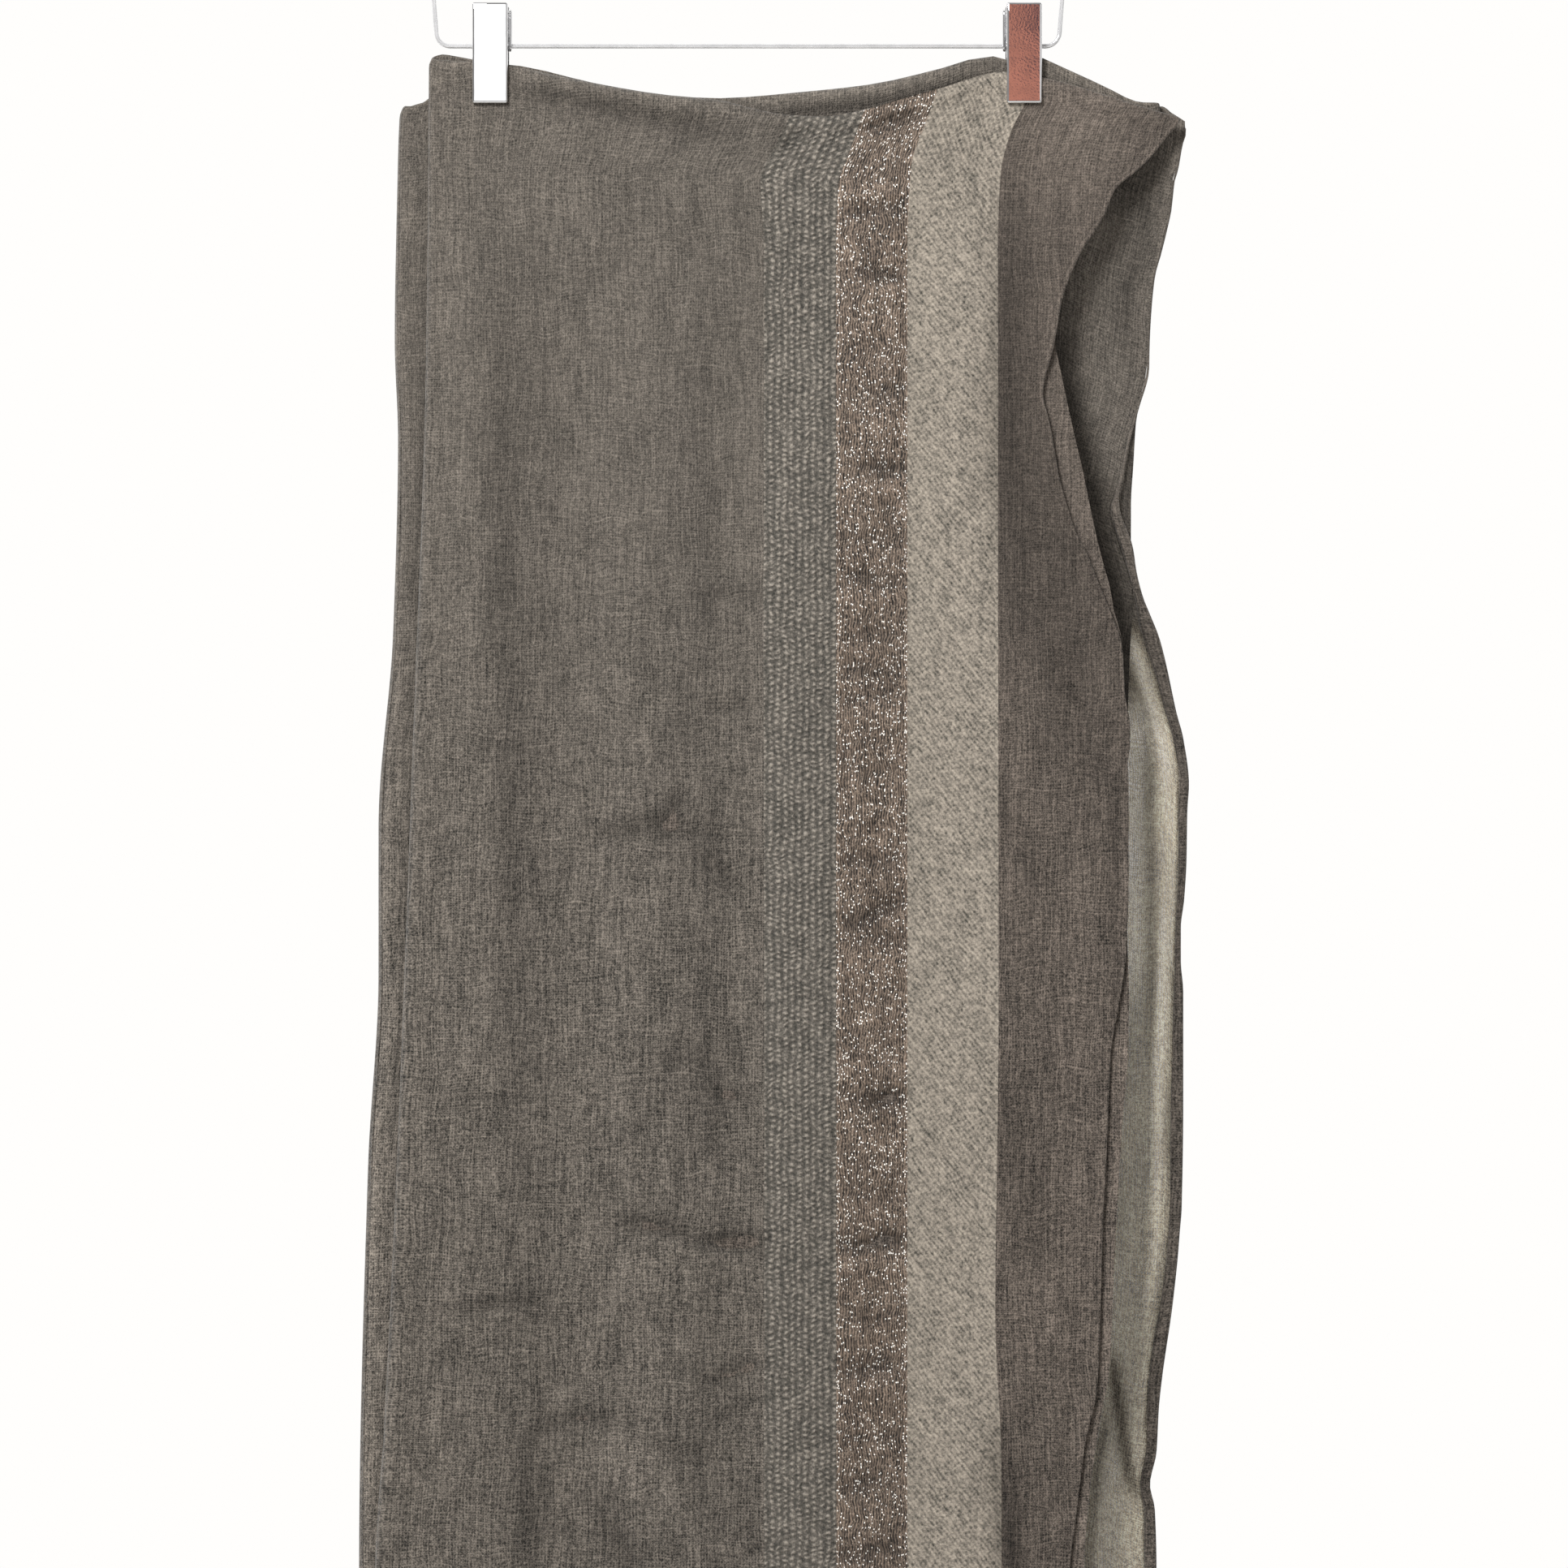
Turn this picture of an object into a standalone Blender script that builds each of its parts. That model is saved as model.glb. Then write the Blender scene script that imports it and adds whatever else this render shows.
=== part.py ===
"""A folded wool shawl with woven bands, held by a metal clip hanger.

Lengths are metres. Z is up, X runs along the hanger's bar and the front faces -Y.
The origin is the inside top of the hook, where a rail carries the hanger.
Places "across" are measured along X, and places "down" are measured below the bar.
"""

import math
from collections import namedtuple

import bmesh
import bpy
from mathutils import Vector

# Hanger
BAR_DROP = 0.130
WIRE_RADIUS = 0.00115
CORNER_RADIUS = 0.007
BAR_HALF_SPAN = 0.1536
SIDE_LEAN = 0.0022
SIDE_RISE = 0.036
SHOULDER_RADIUS = 0.008
NECK_TOP_DROP = 0.064
COLLAR_HEIGHT = 0.014
COLLAR_RADIUS = 0.0042
COLLAR_CHAMFER = 0.0008
HOOK_WIRE_RADIUS = 0.0015
HOOK_INSIDE_RADIUS = 0.0175
HOOK_TIP_ANGLE = 205
HOOK_BACK_ANGLE = -35
HOOK_ARC_STEPS = 20
HOOK_NECK_DROP = 0.052
HOOK_NECK_PULL = 0.011
HOOK_NECK_STEPS = 8
COLLAR_BORE = 0.0006
COLLAR_SIDES = 16
CORNER_STEPS = 6
GAP = 0.0003

# Clips
CLIP_TOP_RISE = 0.0205
CLIP_BOTTOM_DROP = 0.0290
CLIP_FACE_WIDTH = 0.0148
CLIP_RIM_WIDTH = 0.0013
CLIP_RIM_DEPTH = 0.0018
CLIP_METAL = 0.0008
CLIP_CORNER_RISE = 0.0016
CLIP_HANDLE_SPREAD = 0.0020
LEFT_CLIP_MIDDLE = -0.1267
RIGHT_CLIP_MIDDLE = 0.1359
SPRING_HALF_LENGTH = 0.0052
SPRING_RADIUS = 0.0065
SPRING_GROOVE = 0.0006
SPRING_TURNS = 3
SPRING_SIDES = 12
RING_WIRE_RADIUS = 0.0007
RING_HALF_HEIGHT = 0.0098
RING_END_STEPS = 5

# Cloth
CLOTH_DROP = 1.005
WALL = 0.0020
SEAM = 0.0003
PINCHED_PITCH = 0.0025
CLIP_HOLD_HALF_WIDTH = 0.015
CLIP_HOLD_REACH = 0.020
CLIP_HOLD_DROP = 0.035
CLIP_HOLD_END = 0.120
CLIP_GUIDE_OFFSET = 0.0075
ROLL_DEPTH = 0.0030
ROLL_BLEND = 0.7
HEM_WIDTH = 0.006
HEM_FULLNESS = 1.45
EDGE_FULLNESS = 0.8
TOP_FULLNESS = (0.35, 0.85)
BOTTOM_STEP = 0.003
BOTTOM_WAVE = 0.003
BOTTOM_WAVES_PER_METRE = 24
BOTTOM_WAVE_SHIFT = 1.7
TOP_ROWS = (0.0, 0.0008, 0.0026, 0.0052, 0.0085, 0.0125)
UPPER_ROWS = 14
LOWER_ROWS = 9
UPPER_SHARE = 0.36
BEND_STEPS = 4
SETTLE_STEPS = 12

Edge = namedtuple("Edge", "down across")
Top = namedtuple("Top", "across down")
Amount = namedtuple("Amount", "down size")
Fold = namedtuple("Fold", "across lean half_width height start finish")
Row = namedtuple("Row", "share from_top from_bottom fullness")
Panel = namedtuple("Panel", "order left right top bottom")

# Edges of the stretches, each level's place across
LEFT_FOLD = (
    Edge(0.006, -0.1578), Edge(0.026, -0.1562), Edge(0.148, -0.1580), Edge(0.337, -0.1650),
    Edge(0.537, -0.1726), Edge(0.680, -0.1794), Edge(0.750, -0.1838), Edge(0.877, -0.1846),
    Edge(1.005, -0.1822),
)
SECOND_LEFT_FOLD = (
    Edge(0.029, -0.1666), Edge(0.036, -0.1712), Edge(0.073, -0.1726), Edge(0.145, -0.1738),
    Edge(0.193, -0.1722), Edge(0.289, -0.1746), Edge(0.385, -0.1818), Edge(0.457, -0.1818),
    Edge(0.553, -0.1870), Edge(0.750, -0.1914), Edge(1.005, -0.1902),
)
FRONT_HEM = (
    Edge(0.035, 0.2136), Edge(0.040, 0.2070), Edge(0.058, 0.1918), Edge(0.075, 0.1750),
    Edge(0.103, 0.1634), Edge(0.123, 0.1556), Edge(0.152, 0.1504), Edge(0.170, 0.1468),
    Edge(0.191, 0.1494), Edge(0.218, 0.1554), Edge(0.271, 0.1750), Edge(0.314, 0.1854),
    Edge(0.340, 0.1886), Edge(0.360, 0.1872), Edge(0.449, 0.1866), Edge(0.477, 0.1802),
    Edge(0.573, 0.1796), Edge(0.617, 0.1742), Edge(0.694, 0.1670), Edge(0.750, 0.1578),
    Edge(0.837, 0.1546), Edge(1.005, 0.1634),
)
RIGHT_FOLD = (
    Edge(0.028, 0.2030), Edge(0.033, 0.2036), Edge(0.058, 0.1880), Edge(0.103, 0.1610),
    Edge(0.139, 0.1526), Edge(0.180, 0.1586), Edge(0.217, 0.1678), Edge(0.256, 0.1730),
    Edge(0.298, 0.1870), Edge(0.360, 0.1882), Edge(0.449, 0.1874), Edge(0.477, 0.1812),
    Edge(0.651, 0.1806), Edge(0.702, 0.1682), Edge(0.750, 0.1642), Edge(1.005, 0.1680),
)
BACK_HEM = (
    Edge(0.039, 0.2162), Edge(0.053, 0.2134), Edge(0.073, 0.2094), Edge(0.097, 0.2086),
    Edge(0.121, 0.2002), Edge(0.169, 0.1958), Edge(0.193, 0.1914), Edge(0.233, 0.1900),
    Edge(0.265, 0.1930), Edge(0.289, 0.2014), Edge(0.313, 0.2074), Edge(0.364, 0.2174),
    Edge(0.437, 0.2134), Edge(0.577, 0.2138), Edge(0.625, 0.2082), Edge(0.708, 0.1990),
    Edge(0.750, 0.2006), Edge(0.877, 0.1994), Edge(1.005, 0.2030),
)

# Lines between the woven bands of the front
BASKET_START = (
    Edge(0.035, 0.0198), Edge(0.050, 0.0110), Edge(0.065, 0.0062), Edge(0.100, 0.0080),
    Edge(1.005, 0.0084),
)
METALLIC_START = (
    Edge(0.034, 0.0560), Edge(0.065, 0.0450), Edge(0.100, 0.0434), Edge(1.005, 0.0436),
)
LIGHT_START = (
    Edge(0.022, 0.0920), Edge(0.065, 0.0802), Edge(0.100, 0.0786), Edge(1.005, 0.0786),
)
EDGE_STRIP_START = (
    Edge(0.028, 0.1366), Edge(0.063, 0.1242), Edge(0.477, 0.1236), Edge(0.625, 0.1220),
    Edge(0.703, 0.1250), Edge(1.005, 0.1252),
)

# Columns of the hidden stretches pass under the right clip, then lean away from the right fold
RIGHT_CLIP_INNER = (Edge(0.030, 0.1284), Edge(0.120, 0.1100))
RIGHT_CLIP_OUTER = (Edge(0.030, 0.1434), Edge(0.120, 0.1280))

# Top lines: the front's crease, the roll behind it, and the steps of the two rear stretches
FRONT_CREASE = (
    Top(-0.1566, 0.0060), Top(-0.1266, 0.0084), Top(-0.0886, 0.0164), Top(-0.0486, 0.0252),
    Top(-0.0166, 0.0332), Top(0.0154, 0.0376), Top(0.0554, 0.0332), Top(0.0914, 0.0224),
    Top(0.1274, 0.0124), Top(0.1446, 0.0152), Top(0.1994, 0.0312), Top(0.2136, 0.0352),
)
TOP_RIDGE = (
    Top(-0.1580, 0.0070), Top(-0.1510, 0.0040), Top(-0.1414, 0.0054), Top(-0.1342, 0.0068),
    Top(-0.1267, 0.0082), Top(-0.1126, 0.0096), Top(-0.0742, 0.0184), Top(-0.0358, 0.0244),
    Top(-0.0166, 0.0256), Top(0.0318, 0.0220), Top(0.0602, 0.0188), Top(0.0986, 0.0100),
    Top(0.1178, 0.0048), Top(0.1260, 0.0054), Top(0.1359, 0.0086), Top(0.1450, 0.0058),
    Top(0.1562, 0.0104), Top(0.1754, 0.0196), Top(0.1946, 0.0276), Top(0.2036, 0.0278),
    Top(0.2105, 0.0345), Top(0.2162, 0.0390),
)
THIRD_STEP = (
    Top(-0.1740, 0.0270), Top(-0.1660, 0.0225), Top(-0.1570, 0.0200), Top(-0.1450, 0.0060),
    Top(-0.1200, 0.0030), Top(0.0000, 0.0085), Top(0.1200, 0.0035), Top(0.2000, 0.0004),
)
BACK_STEP = (
    Top(-0.1740, 0.0270), Top(-0.1660, 0.0225), Top(-0.1570, 0.0195), Top(-0.1450, 0.0040),
    Top(-0.1200, 0.0015), Top(0.0000, 0.0030), Top(0.1200, 0.0020), Top(0.1900, 0.0030),
    Top(0.2162, 0.0000),
)

# How far apart the stretches hang, how far the front's free edge lifts and the rear one falls back
LOOSE_PITCH = (
    Amount(0.0, 0.0042), Amount(0.10, 0.0056), Amount(0.30, 0.0088), Amount(0.75, 0.0108),
    Amount(1.005, 0.0120),
)
FRONT_LIFT = (
    Amount(0.04, 0.0), Amount(0.12, 0.0050), Amount(0.20, 0.0080), Amount(0.34, 0.0030),
    Amount(0.48, 0.0055), Amount(0.70, 0.0085), Amount(1.005, 0.0060),
)
REAR_FALL = (
    Amount(0.04, 0.0), Amount(0.10, 0.0070), Amount(0.22, 0.0130), Amount(0.36, 0.0090),
    Amount(0.52, 0.0110), Amount(0.75, 0.0080), Amount(1.005, 0.0120),
)
LIFT_FROM = 0.110
LIFT_FULL = 0.190
LIFT_SHARE_OF_SECOND = 0.4
FALL_SHARE_OF_THIRD = 0.1

# Soft upright folds: a ridge stands towards the front, a trough has a height below zero
FOLDS = (
    Fold(-0.1270, -0.020, 0.017, 0.0046, 0.030, 0.62),
    Fold(-0.0930, 0.012, 0.019, -0.0040, 0.080, 0.95),
    Fold(-0.0520, 0.020, 0.022, 0.0050, 0.100, 1.30),
    Fold(-0.0110, 0.010, 0.017, -0.0036, 0.060, 1.15),
    Fold(0.0300, 0.000, 0.024, 0.0030, 0.140, 1.30),
    Fold(0.0830, -0.006, 0.016, -0.0034, 0.050, 1.05),
    Fold(0.1250, -0.008, 0.020, 0.0048, 0.030, 1.10),
    Fold(0.1530, 0.010, 0.012, -0.0030, 0.200, 1.30),
)
FOLD_FADE = 0.10
FOLD_SHARE = (1.0, 0.75, 0.50, -0.45)

# Colours and finishes as seen, each colour as 8-bit red, green and blue
GAUZE_COLOUR = (106, 99, 92)
DARK_GAUZE_COLOUR = (100, 94, 88)
BASKET_COLOUR = (116, 109, 102)
METALLIC_COLOUR = (126, 114, 101)
LIGHT_COLOUR = (152, 144, 131)
EDGE_COLOUR = (98, 91, 82)
CHROME_COLOUR = (206, 208, 210)
CLOTH_ROUGHNESS = 0.95
METALLIC_BAND_ROUGHNESS = 0.55
CHROME_ROUGHNESS = 0.12


class Outline:
    """A smooth line through a short table: its first column goes in, its second comes out."""

    def __init__(self, rows):
        self.keys = [row[0] for row in rows]
        self.values = [row[1] for row in rows]
        steps = [
            (self.values[i + 1] - self.values[i]) / (self.keys[i + 1] - self.keys[i])
            for i in range(len(rows) - 1)
        ]
        inner = [
            0.0 if before * after <= 0 else 2 * before * after / (before + after)
            for before, after in zip(steps, steps[1:])
        ]
        self.slopes = [steps[0]] + inner + [steps[-1]]

    def __call__(self, at):
        if at <= self.keys[0]:
            return self.values[0]
        if at >= self.keys[-1]:
            return self.values[-1]
        i = next(k for k in range(len(self.keys) - 1) if at < self.keys[k + 1])
        length = self.keys[i + 1] - self.keys[i]
        t = (at - self.keys[i]) / length
        start = (1 + 2 * t) * (1 - t) ** 2
        start_slope = t * (1 - t) ** 2
        finish_slope = t * t * (t - 1)
        return (
            start * self.values[i]
            + (1 - start) * self.values[i + 1]
            + length * (start_slope * self.slopes[i] + finish_slope * self.slopes[i + 1])
        )


def ramp(low, high, at):
    """Zero before low, one after high, smooth between."""
    t = min(max((at - low) / (high - low), 0.0), 1.0)
    return t * t * (3 - 2 * t)


def bell(distance, half_width):
    return math.exp(-((distance / half_width) ** 2))


left_fold = Outline(LEFT_FOLD)
second_left_fold = Outline(SECOND_LEFT_FOLD)
front_hem = Outline(FRONT_HEM)
right_fold = Outline(RIGHT_FOLD)
back_hem = Outline(BACK_HEM)
basket_start = Outline(BASKET_START)
metallic_start = Outline(METALLIC_START)
light_start = Outline(LIGHT_START)
edge_strip_start = Outline(EDGE_STRIP_START)
right_clip_inner = Outline(RIGHT_CLIP_INNER)
right_clip_outer = Outline(RIGHT_CLIP_OUTER)
front_crease = Outline(FRONT_CREASE)
top_ridge = Outline(TOP_RIDGE)
third_step = Outline(THIRD_STEP)
back_step = Outline(BACK_STEP)
loose_pitch = Outline(LOOSE_PITCH)
front_lift = Outline(FRONT_LIFT)
rear_fall = Outline(REAR_FALL)


def third_top(across):
    return top_ridge(across) + third_step(across)


def back_top(across):
    return top_ridge(across) + back_step(across)


def lower_edge(order):
    """The bottom edge of a stretch, which waves a little and differs from its neighbours."""
    def down(across):
        wave = 1 + math.sin(BOTTOM_WAVES_PER_METRE * across + BOTTOM_WAVE_SHIFT * order)
        return CLOTH_DROP - BOTTOM_STEP * (order % 2) - BOTTOM_WAVE * wave
    return down


def clip_hold(across, down):
    """One where a clip grips the cloth, fading to zero around and below it."""
    nearest = min(abs(across - LEFT_CLIP_MIDDLE), abs(across - RIGHT_CLIP_MIDDLE))
    beyond = max(nearest - CLIP_HOLD_HALF_WIDTH, 0.0)
    return bell(beyond, CLIP_HOLD_REACH) * (1 - ramp(CLIP_HOLD_DROP, CLIP_HOLD_END, down))


def fold_height(across, down):
    """How far the soft upright folds stand towards the front at a point."""
    total = 0.0
    for fold in FOLDS:
        middle = fold.across + fold.lean * down
        strength = ramp(fold.start, fold.start + FOLD_FADE, down)
        strength *= 1 - ramp(fold.finish - 2 * FOLD_FADE, fold.finish, down)
        total += fold.height * strength * bell(across - middle, fold.half_width)
    return total


def depth(order, across, down):
    """How far back a stretch's middle lies, the front stretch being the most negative."""
    hold = clip_hold(across, down)
    pitch = PINCHED_PITCH + (loose_pitch(down) - PINCHED_PITCH) * (1 - hold)
    relief = FOLD_SHARE[order] * fold_height(across, down) * (1 - hold)
    edge = ramp(LIFT_FROM, LIFT_FULL, across) * (1 - hold)
    lift = front_lift(down)
    fall = rear_fall(down)
    parting = (-lift, -lift * LIFT_SHARE_OF_SECOND, fall * FALL_SHARE_OF_THIRD, fall)
    return (order - 1.5) * pitch - relief + parting[order] * edge


PANELS = (
    Panel(0, left_fold, front_hem, front_crease, lower_edge(0)),
    Panel(1, left_fold, right_fold, top_ridge, lower_edge(1)),
    Panel(2, second_left_fold, right_fold, third_top, lower_edge(2)),
    Panel(3, second_left_fold, back_hem, back_top, lower_edge(3)),
)


def bend_middle(front, side, down):
    """Where the turn between a stretch and the one behind it has its centre, and its radius."""
    panel = PANELS[front]
    edge = panel.left(down) if side < 0 else panel.right(down)
    radius = (depth(front + 1, edge, down) - depth(front, edge, down)) / 2
    return edge - side * (radius + WALL / 2), radius


def cloth_rows():
    """Levels from the top edge to the bottom one, closest at both ends and in the upper part."""
    rows = [Row(0.0, step, 0.0, 1.0) for step in TOP_ROWS[:-1]]
    for i, fullness in enumerate(TOP_FULLNESS):
        rows[i] = rows[i]._replace(fullness=fullness)
    shares = [UPPER_SHARE * i / UPPER_ROWS for i in range(UPPER_ROWS)]
    shares += [UPPER_SHARE + (1 - UPPER_SHARE) * i / LOWER_ROWS for i in range(LOWER_ROWS + 1)]
    rows += [Row(share, TOP_ROWS[-1], HEM_WIDTH, 1.0) for share in shares]
    rows.append(Row(1.0, 0.0, HEM_WIDTH * 0.75, HEM_FULLNESS))
    rows.append(Row(1.0, 0.0, HEM_WIDTH * 0.25, HEM_FULLNESS))
    rows.append(Row(1.0, 0.0, 0.0, EDGE_FULLNESS))
    return rows


ROWS = cloth_rows()


def level(row, top, bottom):
    return top + row.from_top + row.share * (bottom - top - row.from_top - row.from_bottom)


def settle(row, top, bottom, place):
    """The point where a row meets a column, whose place across depends on how low it is."""
    across = place(CLOTH_DROP / 3)
    for _ in range(SETTLE_STEPS):
        down = level(row, top(across), bottom(across))
        across = place(down)
    return across, down


def flat_column(order, place):
    """An upright line on a stretch, as a function from a row to a point."""
    panel = PANELS[order]

    def point(row):
        across, down = settle(row, panel.top, panel.bottom, place)
        return Vector((across, depth(order, across, down), -BAR_DROP - down))
    return point


def bend_column(front, side, turn):
    """An upright line on the turn behind a stretch, from 0 at its front to 1 at its back."""
    ahead = PANELS[front]
    behind = PANELS[front + 1]

    def top(across):
        return ahead.top(across) * (1 - turn) + behind.top(across) * turn

    def bottom(across):
        return ahead.bottom(across) * (1 - turn) + behind.bottom(across) * turn

    def point(row):
        across, down = settle(row, top, bottom, lambda drop: bend_middle(front, side, drop)[0])
        middle, radius = bend_middle(front, side, down)
        centre = (depth(front, middle, down) + depth(front + 1, middle, down)) / 2
        reach = (depth(front + 1, middle, down) - depth(front, middle, down)) / 2
        return Vector((
            middle + side * radius * math.sin(math.pi * turn),
            centre - reach * math.cos(math.pi * turn),
            -BAR_DROP - down,
        ))
    return point


def turn_columns(front, side):
    """The turn's columns from its front one, without the last, which starts the next stretch."""
    return [bend_column(front, side, i / BEND_STEPS) for i in range(BEND_STEPS)]


def between(first, second, share):
    return lambda down: first(down) * (1 - share) + second(down) * share


def inside_of(line, inset):
    return lambda down: line(down) - inset


def left_clip_inner(down):
    return LEFT_CLIP_MIDDLE + CLIP_GUIDE_OFFSET


def left_clip_outer(down):
    return LEFT_CLIP_MIDDLE - CLIP_GUIDE_OFFSET


def turn_line(front, side):
    """The line where a stretch's flat part ends and the turn behind it begins."""
    return lambda down: bend_middle(front, side, down)[0]


def run_columns(order, lines, steps):
    """Columns through a row of lines, so many steps between each two, without the last."""
    columns = []
    for first, second, count in zip(lines, lines[1:], steps):
        for i in range(count):
            columns.append(flat_column(order, between(first, second, i / count)))
    return columns


def hem_columns(order, hem, shares):
    return [flat_column(order, inside_of(hem, HEM_WIDTH * share)) for share in shares]


def front_sections():
    """The front's bands from its hem to its left fold."""
    hem = hem_columns(0, front_hem, (0, 0.25, 0.75))
    edge = run_columns(0, (inside_of(front_hem, HEM_WIDTH), edge_strip_start), (4,))
    field_lines = (basket_start, left_clip_inner, left_clip_outer, turn_line(0, -1))
    field = run_columns(0, field_lines, (6, 2, 1)) + turn_columns(0, -1)
    return [
        ("front_edge_strip", hem + edge),
        ("front_light_band", run_columns(0, (edge_strip_start, light_start), (3,))),
        ("front_metallic_band", run_columns(0, (light_start, metallic_start), (2,))),
        ("front_basket_band", run_columns(0, (metallic_start, basket_start), (2,))),
        ("front_field", field),
    ]


def rear_sections():
    """The three stretches behind, in the order in which the cloth reaches them."""
    guides = (left_clip_outer, left_clip_inner, right_clip_inner, right_clip_outer)
    second_lines = (turn_line(0, -1),) + guides + (turn_line(1, 1),)
    third_lines = (turn_line(1, 1),) + guides[::-1] + (turn_line(2, -1),)
    back_lines = (turn_line(2, -1),) + guides + (inside_of(back_hem, HEM_WIDTH),)
    steps = (1, 2, 5, 2, 3)
    second = run_columns(1, second_lines, steps) + turn_columns(1, 1)
    third = run_columns(2, third_lines, steps[::-1]) + turn_columns(2, -1)
    back = run_columns(3, back_lines, steps) + hem_columns(3, back_hem, (1, 0.75, 0.25, 0))
    return [("second_stretch", second), ("third_stretch", third), ("back_stretch", back)]


def roll_shape(from_top):
    """The roll's swelling below the top edge, from 0 to 1 and back."""
    return math.sin(math.pi * min(from_top / TOP_ROWS[-1], 1.0) ** ROLL_BLEND)


def front_roll(across):
    """The front is rolled at the top left, where no crease shows."""
    away = ramp(0.012, 0.030, abs(across - LEFT_CLIP_MIDDLE))
    return away * (1 - ramp(-0.030, -0.005, across))


def second_roll(across):
    """The second stretch's roll shows where its top stands well above the front's crease."""
    room = front_crease(across) - top_ridge(across)
    return ramp(0.0095, 0.0125, room) * ramp(-0.04, 0.0, across)


def back_roll(across):
    away = min(abs(across - LEFT_CLIP_MIDDLE), abs(across - RIGHT_CLIP_MIDDLE))
    return ramp(0.012, 0.040, away) * (1 - ramp(0.15, 0.19, across)) * ramp(-0.15, -0.12, across)


def no_roll(across):
    return 0.0


# Each node's swelling at the top, on the wall's outer face and on its inner one
ROLLS = {
    "front_field": (front_roll, no_roll),
    "second_stretch": (no_roll, second_roll),
    "back_stretch": (back_roll, no_roll),
}


def wall_faces(sections):
    """The cloth's outer and inner points, [column][row], and each column's section name."""
    columns = [(name, column) for name, section in sections for column in section]
    middle = [[column(row) for row in ROWS] for _, column in columns]
    last_column = len(columns) - 1
    last_row = len(ROWS) - 1
    hem_fullness = {0: EDGE_FULLNESS, 1: HEM_FULLNESS, 2: HEM_FULLNESS}
    outer = []
    inner = []
    for i, line in enumerate(middle):
        outer_roll, inner_roll = ROLLS.get(columns[i][0], (no_roll, no_roll))
        fullness = hem_fullness.get(min(i, last_column - i), 1.0)
        outer_line = []
        inner_line = []
        for j, point in enumerate(line):
            along = middle[min(i + 1, last_column)][j] - middle[max(i - 1, 0)][j]
            below = line[min(j + 1, last_row)] - line[max(j - 1, 0)]
            facing = along.cross(below).normalized()
            half = WALL / 2 * ROWS[j].fullness * fullness
            swelling = ROLL_DEPTH * roll_shape(ROWS[j].from_top) if ROWS[j].share == 0.0 else 0.0
            outer_line.append(point + facing * (half + swelling * outer_roll(point.x)))
            inner_line.append(point - facing * (half + swelling * inner_roll(point.x)))
        outer.append(outer_line)
        inner.append(inner_line)
    return outer, inner


def trimmed(grid, first, last):
    """A run of a grid's columns, drawn in by half a seam at the ends that meet a neighbour."""
    part = [list(line) for line in grid[first:last + 1]]
    for end, nearby, is_seam in ((0, 1, first > 0), (-1, -2, last < len(grid) - 1)):
        if is_seam:
            part[end] = [
                point + (beside - point).normalized() * SEAM / 2
                for point, beside in zip(part[end], part[nearby])
            ]
    return part


def srgb(colour):
    """An 8-bit display colour as the linear one that a shader takes."""
    def linear(value):
        share = value / 255
        return share / 12.92 if share <= 0.04045 else ((share + 0.055) / 1.055) ** 2.4
    return tuple(linear(value) for value in colour) + (1.0,)


def finish(name, colour, roughness, metallic=0.0):
    material = bpy.data.materials.new(name)
    material.use_nodes = True
    shader = material.node_tree.nodes["Principled BSDF"]
    shader.inputs["Base Color"].default_value = srgb(colour)
    shader.inputs["Roughness"].default_value = roughness
    shader.inputs["Metallic"].default_value = metallic
    material.diffuse_color = srgb(colour)
    return material


def add_mesh(name, points, faces, material):
    mesh = bpy.data.meshes.new(name)
    mesh.from_pydata([tuple(point) for point in points], [], faces)
    mesh.materials.append(material)
    mesh.update()
    mesh.shade_smooth()
    mesh.set_sharp_from_angle(angle=math.radians(50))
    piece = bpy.data.objects.new(name, mesh)
    bpy.context.scene.collection.objects.link(piece)
    return piece


def add_wall(name, outer, inner, material):
    """A closed wall of cloth between two grids."""
    across = len(outer)
    down = len(outer[0])
    points = [point for line in outer for point in line]
    points += [point for line in inner for point in line]
    back = across * down
    faces = []

    def corner(i, j, side):
        return side * back + i * down + j

    for i in range(across - 1):
        for j in range(down - 1):
            faces.append((corner(i, j, 0), corner(i + 1, j, 0),
                          corner(i + 1, j + 1, 0), corner(i, j + 1, 0)))
            faces.append((corner(i, j, 1), corner(i, j + 1, 1),
                          corner(i + 1, j + 1, 1), corner(i + 1, j, 1)))
    for i in range(across - 1):
        for j, flip in ((0, True), (down - 1, False)):
            rim = (corner(i, j, 0), corner(i + 1, j, 0), corner(i + 1, j, 1), corner(i, j, 1))
            faces.append(rim[::-1] if flip else rim)
    for j in range(down - 1):
        for i, flip in ((0, False), (across - 1, True)):
            rim = (corner(i, j, 0), corner(i, j + 1, 0), corner(i, j + 1, 1), corner(i, j, 1))
            faces.append(rim[::-1] if flip else rim)
    return add_mesh(name, points, faces, material)


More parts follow.
